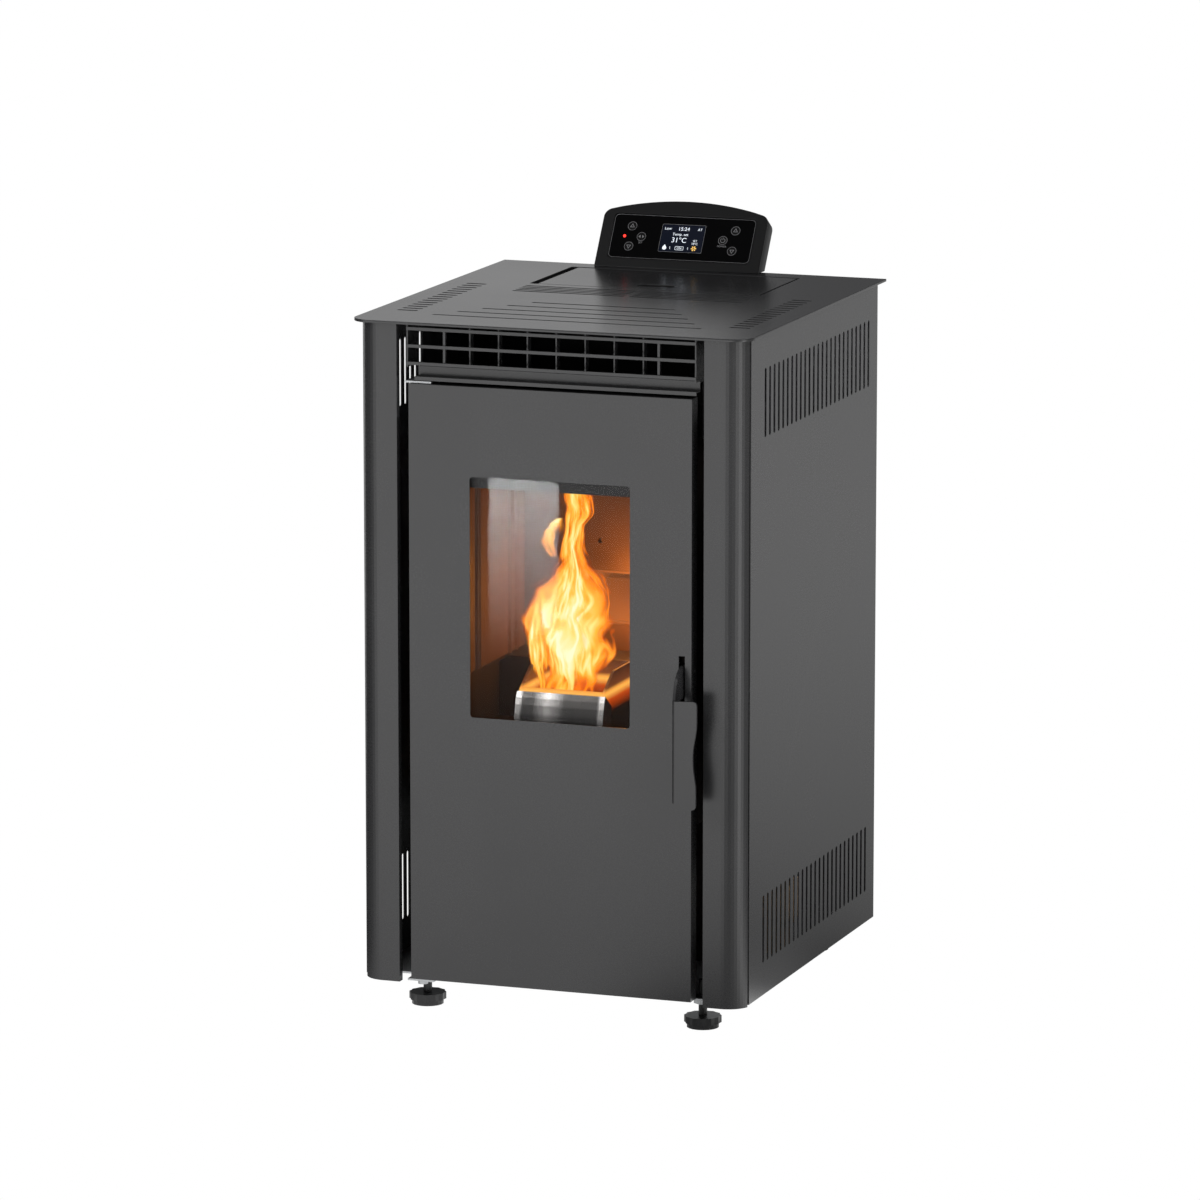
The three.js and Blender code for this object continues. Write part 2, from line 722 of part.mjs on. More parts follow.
function airGrille() {
  const half = grilleHalf;
  const bars = Array.from({ length: GRILLE_ROWS }, (_, i) => {
    const z = grilleTopBar - i * GRILLE_ROW_PITCH;
    return box(-half, half, GRILLE_FRONT, GRILLE_FRONT + 3, z - GRILLE_BAR / 2, z + GRILLE_BAR / 2);
  });
  const low = grilleTopBar - (GRILLE_ROWS - 1) * GRILLE_ROW_PITCH - GRILLE_BAR / 2;
  const high = grilleTopBar + GRILLE_BAR / 2;
  const posts = [-1, 1].map((side) => {
    const x = side * GRILLE_POST_X;
    return box(x - GRILLE_POST / 2, x + GRILLE_POST / 2, GRILLE_FRONT + 2, GRILLE_FRONT + 7, low, high);
  });
  const back = VANE_FRONT + VANE_DEPTH;
  const floor = ledgeTop + GAP;
  const roof = high + 2.5;
  const cheeks = [-1, 1].map((side) => {
    const outer = side * half;
    const inner = side * (half - 1.5);
    return box(Math.min(outer, inner), Math.max(outer, inner), GRILLE_FRONT + 1, back, floor, roof);
  });
  const vanes = Array.from({ length: VANE_COUNT }, (_, i) => {
    const x = (i - (VANE_COUNT - 1) / 2) * VANE_PITCH;
    return box(x - VANE_THICK / 2, x + VANE_THICK / 2, VANE_FRONT + 1, back - 1, floor + 1, roof - 1);
  });
  const rails = [
    [floor, floor + 1.5],
    [roof - 1.5, roof],
  ].map(([z0, z1]) => box(-half, half, VANE_FRONT, back, z0, z1));
  return join(...bars, ...posts, ...cheeks, ...vanes, ...rails);
}

// The folded ledge that closes the front between the grille and the door.
function frontLedge() {
  const lip = doorTop + 3.4;
  const shelf = lip + 4;
  const path = [
    [GRILLE_FRONT + 1, lip],
    [GRILLE_FRONT + 1, shelf],
    [GRILLE_FRONT + 13, shelf],
    [GRILLE_FRONT + 13, ledgeTop],
    [VANE_FRONT + VANE_DEPTH + 4, ledgeTop],
  ];
  return alongX(folded(path, -COLUMN_SHEET), ledgeLeft, ledgeRight);
}

// ---------------------------------------------------------------- door

const leverHoleX = leverX;
const earInner = leverX - 9;
const earOuter = leverX + 7;

// The door: a folded tray with the window opening, the lever's slot and its two pivot ears.
function doorPanel() {
  const s = outline([
    [-doorHalf, DOOR_BOTTOM],
    [doorHalf, DOOR_BOTTOM],
    [doorHalf, doorTop],
    [-doorHalf, doorTop],
  ]);
  s.holes.push(opening(-windowHalf, windowHalf, WINDOW_BOTTOM, windowTop, WINDOW_CORNER, 2));
  s.holes.push(
    slot(leverHoleX - LEVER_SLOT / 2, leverHoleX + LEVER_SLOT / 2, LEVER_SLOT_BOTTOM, LEVER_SLOT_TOP),
  );
  const face = alongY(s, CASE_FRONT, doorInner, 3);
  const back = CASE_FRONT + DOOR_DEPTH;
  const t = DOOR_SHEET;
  const returns = [
    box(-doorHalf, -doorHalf + t, CASE_FRONT, back, DOOR_BOTTOM, doorTop),
    box(doorHalf - t, doorHalf, CASE_FRONT, back, DOOR_BOTTOM, doorTop),
    box(-doorHalf, doorHalf, CASE_FRONT, back, DOOR_BOTTOM, DOOR_BOTTOM + t),
    box(-doorHalf, doorHalf, CASE_FRONT, back, doorTop - t, doorTop),
  ];
  const ears = [earInner, earOuter].map((x) =>
    box(x, x + 2, doorInner - 0.5, LEVER_PIVOT_Y + 5, LEVER_PIVOT_Z - 9, LEVER_PIVOT_Z + 9),
  );
  const pinHoles = rod([hingeX, HINGE_Y, DOOR_BOTTOM - CUT], [hingeX, HINGE_Y, doorTop + CUT],
    HINGE_RADIUS + RUN, 16);
  const leverPin = rod([earInner - CUT, LEVER_PIVOT_Y, LEVER_PIVOT_Z],
    [earOuter + CUT * 2, LEVER_PIVOT_Y, LEVER_PIVOT_Z], LEVER_PIN_RADIUS + GAP, 12);
  return cut(join(face, ...returns, ...ears), pinHoles, leverPin);
}

const glassHalf = windowHalf + GLASS_LAP;
const glassBottom = WINDOW_BOTTOM - GLASS_LAP;
const glassTop = windowTop + GLASS_LAP;
const glassFront = doorInner + GAP;
const glassBack = glassFront + GLASS_THICK;

function doorGlass() {
  return box(-glassHalf, glassHalf, glassFront, glassBack, glassBottom, glassTop);
}

// The steel frame that holds the glass behind the door's face.
const frameBack = glassFront + FRAME_DEPTH;
const frameHalf = glassHalf + FRAME_RING;
const frameBottom = glassBottom - FRAME_SKIRT;
const frameTop = glassTop + FRAME_RING;
function doorFrame() {
  const s = rounded(-frameHalf, frameHalf, frameBottom, frameTop, 6);
  s.holes.push(slot(-glassHalf - GAP, glassHalf + GAP, glassBottom - GAP, glassTop + GAP));
  return alongY(s, glassFront, frameBack);
}

// The retainer behind the glass, with the deeper air-wash strip along its top.
function glassRetainer() {
  const s = outline([
    [-glassHalf, glassBottom],
    [glassHalf, glassBottom],
    [glassHalf, glassTop],
    [-glassHalf, glassTop],
  ]);
  const half = windowHalf + RETAINER_SIDE;
  s.holes.push(
    opening(-half, half, WINDOW_BOTTOM - RETAINER_SIDE, windowTop - WASH_STRIP, 2),
  );
  const front = glassBack + GAP;
  return alongY(s, front, front + RETAINER_THICK);
}

// Rope gasket on the back of the frame.
function doorGasket() {
  const inset = FRAME_RING / 2 - GASKET_WIDTH / 2;
  const ring = (t) => [-frameHalf + t, frameHalf - t, frameBottom + t * 0.5, frameTop - t];
  const s = rounded(...ring(inset), 10);
  const inner = inset + GASKET_WIDTH;
  s.holes.push(
    opening(-frameHalf + inner, frameHalf - inner, frameBottom + inset * 0.5 + GASKET_WIDTH,
      frameTop - inner, 5),
  );
  return alongY(s, frameBack + GAP, frameBack + GAP + GASKET_THICK);
}

// The lever: a blade through the slot, bent round into a waisted grip.
const gripFace = CASE_FRONT - LEVER_REACH;
function doorLever() {
  const left = leverX - LEVER_THICK / 2;
  const right = left + LEVER_THICK;
  const py = LEVER_PIVOT_Y;
  const pz = LEVER_PIVOT_Z;
  const flangeBackY = gripFace + GRIP_FLANGE;
  const stem = new THREE.Shape();
  stem.moveTo(py, pz + LEVER_HUB);
  stem.lineTo(CASE_FRONT, pz + LEVER_HUB);
  stem.quadraticCurveTo(gripFace + 8, pz + 2, gripFace + GRIP_BEND, GRIP_TOP - 2);
  stem.lineTo(gripFace + GRIP_BEND, GRIP_BOTTOM + 6);
  stem.lineTo(flangeBackY, GRIP_BOTTOM + 10);
  stem.lineTo(flangeBackY, GRIP_TOP - 14);
  stem.quadraticCurveTo(flangeBackY, GRIP_TOP - 4, CASE_FRONT, GRIP_TOP - 4);
  stem.lineTo(py, pz - LEVER_HUB);
  stem.absarc(py, pz, LEVER_HUB, -Math.PI / 2, Math.PI / 2);
  const blade = alongX(stem, left, right, 6);
  // The bend: an arc from the blade's plane to the grip's plane, as tall as the grip's left edge.
  const inner = GRIP_BEND - LEVER_THICK;
  const bend = new THREE.Shape();
  bend.absarc(left + GRIP_BEND, gripFace + GRIP_BEND, GRIP_BEND, Math.PI, Math.PI * 1.5, false);
  bend.lineTo(left + GRIP_BEND + 1, gripFace);
  bend.lineTo(left + GRIP_BEND + 1, gripFace + LEVER_THICK);
  bend.absarc(left + GRIP_BEND, gripFace + GRIP_BEND, inner, Math.PI * 1.5, Math.PI, true);
  bend.lineTo(right, gripFace + GRIP_BEND + 1);
  bend.lineTo(left, gripFace + GRIP_BEND + 1);
  const corner = raise(bend, GRIP_BOTTOM + 6, GRIP_TOP - 2, 5);
  // The grip plate with its drawn-in waist.
  const edge = left + GRIP_WIDTH;
  const plate = new THREE.Shape();
  const start = left + GRIP_BEND;
  const r = 5;
  plate.moveTo(start, GRIP_TOP - 2);
  plate.lineTo(edge - r, GRIP_TOP - 1);
  plate.quadraticCurveTo(edge, GRIP_TOP - 1, edge, GRIP_TOP - 1 - r);
  plate.lineTo(edge, GRIP_TOP - 24);
  const third = (GRIP_TOP - GRIP_BOTTOM) / 3;
  plate.bezierCurveTo(edge, GRIP_TOP - third, edge - GRIP_WAIST, GRIP_TOP - third - 6,
    edge - GRIP_WAIST, (GRIP_TOP + GRIP_BOTTOM) / 2 - 4);
  plate.bezierCurveTo(edge - GRIP_WAIST, GRIP_BOTTOM + third, edge - 1, GRIP_BOTTOM + third - 8,
    edge - 1, GRIP_BOTTOM + 20);
  plate.lineTo(edge - 1, GRIP_BOTTOM + r);
  plate.quadraticCurveTo(edge - 1, GRIP_BOTTOM, edge - 1 - r, GRIP_BOTTOM);
  plate.lineTo(start + 2, GRIP_BOTTOM);
  plate.quadraticCurveTo(start, GRIP_BOTTOM + 2, start, GRIP_BOTTOM + 6);
  const grip = alongY(plate, gripFace, gripFace + LEVER_THICK, 7);
  // The hook behind the door.
  const hook = alongX(
    outline([
      [py, pz - 5],
      [py + 9, pz - 4],
      [py + 10, pz + 6],
      [py + 5, pz + 6],
      [py + 2, pz + 3],
    ]),
    left,
    right,
  );
  const hole = rod([left - CUT, py, pz], [right + CUT, py, pz], LEVER_PIN_RADIUS + RUN, 14);
  return cut(join(blade, corner, grip, hook), hole);
}

function leverPin() {
  const shaft = rod([earInner - 1, LEVER_PIVOT_Y, LEVER_PIVOT_Z], [earOuter + 3.2, LEVER_PIVOT_Y,
    LEVER_PIVOT_Z], LEVER_PIN_RADIUS, 14);
  const head = rod([earInner - 2.2, LEVER_PIVOT_Y, LEVER_PIVOT_Z], [earInner - GAP, LEVER_PIVOT_Y,
    LEVER_PIVOT_Z], LEVER_PIN_RADIUS * 1.8, 14);
  return join(shaft, head);
}

// Upper hinge: a bracket hooked over the firebox front, with a pin down into the door.
function upperHinge() {
  const z0 = doorTop + 0.6;
  const z1 = z0 + BASE_SHEET;
  const x0 = hingeX - HINGE_PLATE / 2;
  const x1 = hingeX + HINGE_PLATE / 2;
  const back = flangeBack + GAP + BASE_SHEET;
  const shelf = box(x0, x1, HINGE_Y - HINGE_RADIUS * 2.5, back, z0, z1);
  const tab = box(x0, x1, flangeBack + GAP, back, flangeTop - 40, z1);
  const pin = rod([hingeX, HINGE_Y, z1 - HINGE_LENGTH], [hingeX, HINGE_Y, z1 - 0.5], HINGE_RADIUS, 16);
  return join(shelf, tab, pin);
}

// Lower hinge pin, headed under the base plate's tongue.
function lowerHinge() {
  const shaft = rod([hingeX, HINGE_Y, BASE_Z - 3], [hingeX, HINGE_Y, DOOR_BOTTOM + HINGE_LENGTH - 3],
    HINGE_RADIUS, 16);
  const head = rod([hingeX, HINGE_Y, BASE_Z - 4], [hingeX, HINGE_Y, BASE_Z - GAP], HINGE_RADIUS * 1.8, 16);
  const collar = rod([hingeX, HINGE_Y, baseTop + GAP / 2], [hingeX, HINGE_Y, DOOR_BOTTOM - GAP / 2],
    HINGE_RADIUS * 1.6, 16);
  return join(shaft, head, collar);
}

// ---------------------------------------------------------------- feed screw axis

const feedTilt = THREE.MathUtils.degToRad(FEED_ANGLE);
const feedDir = [0, -Math.cos(feedTilt), Math.sin(feedTilt)];
const feedAt = (t) => [0, FEED_Y + feedDir[1] * t, FEED_Z + feedDir[2] * t];
const feedRod = (t0, t1, r, sides = 20) => rod(feedAt(t0), feedAt(t1), r, sides);

// ---------------------------------------------------------------- firebox

const boxInner = BOX_HALF - BOX_WALL;
const chuteLow = LEDGE_Z + 30;
const chuteHigh = chuteLow + 58;

const boxMouth = flangeBack + GAP;

// The front frame that the gasket seals on, with the fire opening, the drawer's slot and the hook's keeper.
function fireboxFront() {
  const s = outline([
    [-flangeHalf, BOX_BOTTOM - 6],
    [flangeHalf, BOX_BOTTOM - 6],
    [flangeHalf, flangeTop],
    [-flangeHalf, flangeTop],
  ]);
  s.holes.push(opening(-FIRE_HALF, FIRE_HALF, FIRE_BOTTOM, FIRE_TOP, 6));
  const slack = 3;
  s.holes.push(
    slot(-DRAWER_HALF - slack, DRAWER_HALF + slack, BOX_BOTTOM + BOX_WALL + 0.5, DRAWER_TOP + slack),
  );
  const keeper = box(leverX - 5, leverX + 5, BOX_FRONT - 10, BOX_FRONT + 0.5, LEVER_PIVOT_Z + 8,
    LEVER_PIVOT_Z + 15);
  return join(alongY(s, BOX_FRONT, flangeBack), keeper);
}

// The firebox behind its front frame: an open box on legs, with rails for the tray.
function fireboxBody() {
  const w = BOX_WALL;
  const shell = cut(
    box(-BOX_HALF, BOX_HALF, boxMouth, BOX_BACK, BOX_BOTTOM, BOX_TOP),
    box(-boxInner, boxInner, boxMouth - CUT, BOX_BACK - w, BOX_BOTTOM + w, BOX_TOP - w),
  );
  // Rails that carry the pot's tray, and legs down to the base plate.
  const rails = [-1, 1].map((side) =>
    box(Math.min(side * boxInner, side * (boxInner - 18)) - 0.5, Math.max(side * boxInner,
      side * (boxInner - 18)) + 0.5, boxMouth, LEDGE_FRONT, TRAY_Z - 3, TRAY_Z - GAP),
  );
  const legs = [];
  for (const x of [-LEG_X, LEG_X]) {
    for (const y of [LEG_FRONT, LEG_BACK]) {
      legs.push(box(x - 12, x + 12, y - 12, y + 12, baseTop + GAP, BOX_BOTTOM + 1));
    }
  }
  const body = join(shell, ...rails, ...legs);
  const chute = box(-CHUTE_HALF - GAP, CHUTE_HALF + GAP, BOX_BACK - w - CUT, BOX_BACK + CUT, chuteLow - GAP,
    chuteHigh + GAP);
  const through = (x, z, r, n) => rod([x, BOX_BACK - w - CUT, z], [x, BOX_BACK + CUT, z], r, n);
  const smoke = box(smokeX + SMOKE_WIDTH + 3, smokeX + SMOKE_WIDTH + 43, BOX_BACK - w - CUT,
    BOX_BACK + CUT, BOX_BOTTOM + w + 2, SMOKE_Z + SMOKE_EYE);
  const rodPath = rod([0, BOX_BACK - w - CUT, IGNITER_Z], [0, BOX_BACK + CUT, IGNITER_Z],
    IGNITER_RADIUS + 1.5, 16);
  return cut(body, chute, through(INLET_X, INLET_Z, INLET_RADIUS + GAP, 24),
    through(PROBE_X, PROBE_Z, PROBE_RADIUS, 12), smoke, rodPath);
}

const linerTop = BOX_TOP - BOX_WALL - GAP;
const linerBottom = LEDGE_Z + GAP;
const backLinerBack = BOX_BACK - BOX_WALL - GAP;
const backLinerFront = backLinerBack - LINER_THICK;

// The back liner, cut out for the chute and drilled for the smoke probe.
function backLiner() {
  const half = boxInner - GAP;
  const s = outline([
    [-half, linerBottom],
    [half, linerBottom],
    [half, linerTop],
    [-half, linerTop],
  ]);
  const c = CHUTE_HALF + GAP;
  s.holes.push(slot(-c, c, chuteLow - GAP, chuteHigh + GAP), circle(PROBE_X, PROBE_Z, PROBE_RADIUS, 12));
  return alongY(s, backLinerFront, backLinerBack);
}

// A side liner: a slab with upright half-round ribs.
function sideLiner(side) {
  const outer = side * (boxInner - GAP);
  const inner = side * (boxInner - GAP - LINER_THICK);
  const front = flangeBack + GAP;
  const back = backLinerFront - GAP;
  const face = [[inner, front]];
  for (const y of RIBS) {
    const crest = inner - side * RIB_HEIGHT;
    face.push([inner, y - RIB_WIDTH / 2], [crest, y - RIB_WIDTH / 5]);
    face.push([crest, y + RIB_WIDTH / 5], [inner, y + RIB_WIDTH / 2]);
  }
  const slab = outline([...face, [inner, back], [outer, back], [outer, front]]);
  return raise(slab, linerBottom, linerTop);
}

// The tray under the pot, folded up behind it into the ledge that carries the liners.
function potTray() {
  const w = BOX_WALL;
  const half = boxInner - GAP;
  const notch = POT_HALF + 6;
  const s = outline([
    [-half, boxMouth],
    [-notch, boxMouth],
    [-notch, POT_FRONT + GAP],
    [notch, POT_FRONT + GAP],
    [notch, boxMouth],
    [half, boxMouth],
    [half, LEDGE_FRONT + w / 2],
    [-half, LEDGE_FRONT + w / 2],
  ]);
  const c = SPIGOT - 1.3;
  s.holes.push(slot(-POT_HALF + c, POT_HALF - c, POT_FRONT + c, POT_BACK - c));
  const tray = raise(s, TRAY_Z, TRAY_Z + TRAY_THICK);
  const ledge = folded(
    [
      [BOX_BACK - w - GAP, LEDGE_Z],
      [LEDGE_FRONT, LEDGE_Z],
      [LEDGE_FRONT, TRAY_Z + TRAY_THICK / 2],
    ],
    w,
  );
  // Angles along the side walls for the side liners.
  const seats = [-1, 1].map((side) => {
    const a = side * half;
    const b = side * (boxInner - LINER_THICK - 1);
    return box(Math.min(a, b), Math.max(a, b), boxMouth, LEDGE_FRONT + w / 2, LEDGE_Z - w, LEDGE_Z);
  });
  const rodPath = rod([0, LEDGE_FRONT - w - CUT, IGNITER_Z], [0, LEDGE_FRONT + w + CUT, IGNITER_Z],
    IGNITER_RADIUS + 1.5, 16);
  return cut(join(tray, alongX(ledge, -half, half), ...seats), rodPath);
}

// The burn pot: an open scoop with a perforated floor and a spigot that drops into the tray.
function burnPot() {
  const side = outline([
    [POT_FRONT, POT_BOTTOM],
    [POT_FRONT, POT_RIM],
    [POT_FRONT + POT_SLOPE, POT_SIDE],
    [POT_BACK, POT_SIDE],
    [POT_BACK, POT_BOTTOM],
  ]);
  const block = alongX(side, -POT_HALF, POT_HALF);
  const w = POT_WALL;
  const hollow = box(-POT_HALF + w, POT_HALF - w, POT_FRONT + w, POT_BACK - w, POT_BOTTOM + w,
    POT_SIDE + CUT);
  const rim = box(-POT_HALF, POT_HALF, POT_FRONT, POT_FRONT + 7, POT_RIM - w, POT_RIM);
  const spigot = box(-POT_HALF + SPIGOT, POT_HALF - SPIGOT, POT_FRONT + SPIGOT, POT_BACK - SPIGOT,
    TRAY_Z - 2, POT_BOTTOM + 1);
  const c = SPIGOT + w;
  const well = box(-POT_HALF + c, POT_HALF - c, POT_FRONT + c, POT_BACK - c, TRAY_Z - 2 - CUT, POT_BOTTOM);
  const holes = [];
  for (let i = 0; i < POT_HOLES; i++) {
    for (let j = 0; j < POT_HOLES; j++) {
      const x = (i - (POT_HOLES - 1) / 2) * 17;
      const y = (POT_FRONT + POT_BACK) / 2 + (j - (POT_HOLES - 1) / 2) * 17;
      holes.push(rod([x, y, TRAY_Z], [x, y, POT_BOTTOM + w + CUT], POT_HOLE_RADIUS, 6));
    }
  }
  const eye = rod([0, POT_BACK - w - CUT, IGNITER_Z], [0, POT_BACK + CUT, IGNITER_Z], IGNITER_RADIUS + 1, 14);
  return cut(join(cut(block, hollow), rim, spigot), well, ...holes, eye);
}

// The polished shield that curves down in front of the pot, between two cheeks.
function potShield() {
  const t = SHIELD_SHEET;
  const front = POT_FRONT - GAP - t;
  const curve = new THREE.QuadraticBezierCurve(
    new THREE.Vector2(front, POT_RIM - 2),
    new THREE.Vector2(front - SHIELD_BULGE, POT_RIM - 26),
    new THREE.Vector2(Math.max(front - SHIELD_BULGE + 4, flangeBack - 9), SHIELD_BOTTOM),
  );
  const path = curve.getPoints(8).map((p) => [p.x, p.y]);
  const half = POT_HALF + GAP + t;
  const skin = alongX(folded(path, t), -half, half);
  const seat = TRAY_Z + TRAY_THICK + GAP;
  const upper = path.filter(([, z]) => z > seat + 2);
  const back = POT_FRONT + 18;
  const cheek = outline([...upper, [POT_FRONT + 2, seat], [back, seat], [back, POT_RIM - 16]]);
  const cheeks = [-1, 1].map((side) => {
    const a = side * half;
    const b = side * (half - t);
    return alongX(cheek, Math.min(a, b), Math.max(a, b));
  });
  return join(skin, ...cheeks);
}

function ashDrawer() {
  const t = DRAWER_SHEET;
  const faceBack = BOX_FRONT - GAP;
  const tray = cut(
    box(-DRAWER_HALF, DRAWER_HALF, faceBack - 1, DRAWER_BACK, DRAWER_BOTTOM, DRAWER_TOP),
    box(-DRAWER_HALF + t, DRAWER_HALF - t, faceBack + 1, DRAWER_BACK - t, DRAWER_BOTTOM + t,
      DRAWER_TOP + CUT),
  );
  const m = DRAWER_FACE_MARGIN;
  const face = box(-DRAWER_HALF - m, DRAWER_HALF + m, faceBack - 2, faceBack, DRAWER_BOTTOM - 8,
    DRAWER_TOP + m);
  const lip = folded(
    [
      [faceBack - 1, DRAWER_TOP - 12],
      [faceBack - 10, DRAWER_TOP - 14],
      [faceBack - 10, DRAWER_TOP - 22],
    ],
    2,
  );
  const pull = alongX(lip, -DRAWER_PULL / 2, DRAWER_PULL / 2);
  return join(tray, face, pull);
}

// The duct over the firebox that brings the room fan's air forward to the grille.
function warmAirDuct() {
  const t = SHEET;
  const half = grilleHalf - 4;
  const z0 = BOX_TOP + GAP;
  const z1 = plateUnder - 1;
  const front = VANE_FRONT + VANE_DEPTH + 6;
  const back = BOX_BACK + 24;
  const tub = cut(
    box(-half, half, front, back, z0, z1),
    box(-half + t, half - t, front - CUT, back - t, z0 + t, z1 + CUT),
  );
  const rise = box(-BOX_HALF + 40, BOX_HALF - 40, BOX_BACK + 1, back - 3, z0 - CUT, z0 + t + CUT);
  return cut(tub, rise);
}

// ---------------------------------------------------------------- fuel feed

// The hopper: straight walls, then a funnel down to the feed tube's collar.
function hopper() {
  const top = [-HOPPER_HALF, HOPPER_HALF, HOPPER_FRONT, HOPPER_BACK];
  const low = [-COLLAR_HALF, COLLAR_HALF, COLLAR_FRONT, COLLAR_BACK];
  const inset = ([x0, x1, y0, y1], t) => [x0 + t, x1 - t, y0 + t, y1 - t];
  const rimZ = plateUnder - GAP;
  const outside = stacked([
    [low, COLLAR_TOP + GAP],
    [top, HOPPER_BEND_Z],
    [top, rimZ],
  ]);
  const t = HOPPER_SHEET;
  const inside = stacked([
    [inset(low, t * 1.4), COLLAR_TOP + GAP - CUT],
    [inset(low, t * 1.4), COLLAR_TOP + GAP],
    [inset(top, t), HOPPER_BEND_Z + 1],
    [inset(top, t), rimZ + CUT],
  ]);
  const rim = box(-HOPPER_HALF - HOPPER_RIM, HOPPER_HALF + HOPPER_RIM, HOPPER_FRONT - HOPPER_RIM,
    HOPPER_BACK, rimZ - 1.5, rimZ);
  return cut(join(outside, rim), inside);
}

// A closed body through rectangles [x0, x1, y0, y1] stacked at rising heights.
function stacked(levels) {
  const position = [];
  const index = [];
  for (const [[x0, x1, y0, y1], z] of levels) {
    position.push(x0, y0, z, x1, y0, z, x1, y1, z, x0, y1, z);
  }
  for (let k = 0; k + 1 < levels.length; k++) {
    for (let i = 0; i < 4; i++) {
      const a = 4 * k + i;
      const b = 4 * k + ((i + 1) % 4);
      index.push(a, b, b + 4, a, b + 4, a + 4);
    }
  }
  const last = 4 * (levels.length - 1);
  index.push(0, 2, 1, 0, 3, 2, last, last + 1, last + 2, last, last + 2, last + 3);
  const g = new THREE.BufferGeometry();
  g.setAttribute("position", new THREE.BufferAttribute(new Float32Array(position), 3));
  g.setIndex(index);
  return g;
}

const boreRadius = FEED_RADIUS - FEED_WALL;

// The drop chute's outline seen from the side, outside and inside its walls.
function chuteProfile(t) {
  const [, y, z] = feedAt(FEED_LENGTH - 44);
  return outline([
    [BOX_BACK + 2, chuteLow + t],
    [backLinerFront + 0.5, chuteLow + t],
    [backLinerFront + 0.5, chuteHigh - t],
    [BOX_BACK + 2, chuteHigh - t],
    [y - FEED_RADIUS - 6, z + 30 - t],
    [y, z + 30 - t],
    [y, z - 30 + t],
    [y - FEED_RADIUS, z - 34 + t],
  ]);
}

// The feed tube with the collar that takes the hopper's outlet and the opening for the chute.
function feedTube() {
  const c = FEED_WALL;
  const collar = box(-COLLAR_HALF, COLLAR_HALF, COLLAR_FRONT, COLLAR_BACK, FEED_Z + 18, COLLAR_TOP);
  const outside = join(feedRod(0, FEED_LENGTH, FEED_RADIUS), collar);
  const below = box(-COLLAR_HALF - CUT, COLLAR_HALF + CUT, COLLAR_FRONT - CUT, COLLAR_BACK + 60,
    FEED_Z - 60, FEED_Z + 18);
  const mouth = box(-COLLAR_HALF + c, COLLAR_HALF - c, COLLAR_FRONT + c, COLLAR_BACK - c, FEED_Z + 30,
    COLLAR_TOP + CUT);
  const window = alongX(chuteProfile(CHUTE_WALL + 1), -CHUTE_HALF + CHUTE_WALL + 8,
    CHUTE_HALF - CHUTE_WALL - 8);
  const tube = cut(outside, feedRod(-CUT, FEED_LENGTH - c, boreRadius), mouth, window);
  return cut(tube, cut(below, feedRod(-CUT, FEED_LENGTH, FEED_RADIUS - 0.01)));
}

function dropChute() {
  const outside = alongX(chuteProfile(0), -CHUTE_HALF, CHUTE_HALF);
  const w = CHUTE_WALL;
  const inside = alongX(chuteProfile(w), -CHUTE_HALF + w, CHUTE_HALF - w);
  const ends = [
    box(-CHUTE_HALF + w, CHUTE_HALF - w, backLinerFront - CUT, backLinerFront + CUT, chuteLow + w,
      chuteHigh - w),
  ];
  return cut(outside, inside, ...ends, feedRod(-CUT, FEED_LENGTH + 60, FEED_RADIUS + GAP + 0.3, 20));
}

// The feed screw: a helical flight wound round a shaft.
function feedScrew() {
  const length = FEED_LENGTH - 16;
  const turns = length / SCREW_PITCH;
  const steps = Math.round(turns * SCREW_STEPS);
  const position = [];
  const index = [];
  for (let i = 0; i <= steps; i++) {
    const a = (i / SCREW_STEPS) * Math.PI * 2;
    const z = (i / steps) * (length - SCREW_BLADE);
    for (const [r, h] of [[SCREW_SHAFT - 1.5, 0], [SCREW_RADIUS, 0], [SCREW_RADIUS, SCREW_BLADE],
      [SCREW_SHAFT - 1.5, SCREW_BLADE]]) {
      position.push(r * Math.cos(a), r * Math.sin(a), z + h);
    }
  }
  for (let i = 0; i < steps; i++) {
    for (let k = 0; k < 4; k++) {
      const a = 4 * i + k;
      const b = 4 * i + ((k + 1) % 4);
      index.push(a, b + 4, b, a, a + 4, b + 4);
    }
  }
  const last = 4 * steps;
  index.push(0, 1, 2, 0, 2, 3, last, last + 2, last + 1, last, last + 3, last + 2);
  const flight = new THREE.BufferGeometry();
  flight.setAttribute("position", new THREE.BufferAttribute(new Float32Array(position), 3));
  flight.setIndex(index);
  let helix = solid(flight);
  if (helix.volume() < 0) {
    flight.setIndex(index.map((_, i) => index[i - (i % 3) + [0, 2, 1][i % 3]]));
    helix = solid(flight);
  }
  const shaft = rod([0, 0, -14], [0, 0, length], SCREW_SHAFT, SCREW_STEPS);
  const g = toGeometry(join(helix, shaft));
  return g.rotateX(Math.PI / 2 - feedTilt).translate(...feedAt(8));
}

// Gear motor on the lower end of the feed tube.
function gearMotor() {
  const h = GEAR_SIZE / 2;
  const group = join(
    raise(rounded(-h, h, -h, h, 5), -GEAR_LENGTH - GAP, -GAP, 4),
    rod([0, 0, -GEAR_LENGTH - GEAR_MOTOR_LENGTH], [0, 0, -GEAR_LENGTH], GEAR_MOTOR_RADIUS, 24),
  );
  const bored = cut(group, rod([0, 0, -10], [0, 0, CUT], SCREW_SHAFT + RUN, 16));
  return toGeometry(bored).rotateX(Math.PI / 2 - feedTilt).translate(...feedAt(0));
}

// ---------------------------------------------------------------- fans and pipes

const smokeRight = smokeX + SMOKE_WIDTH;
const shaftRadius = 4;

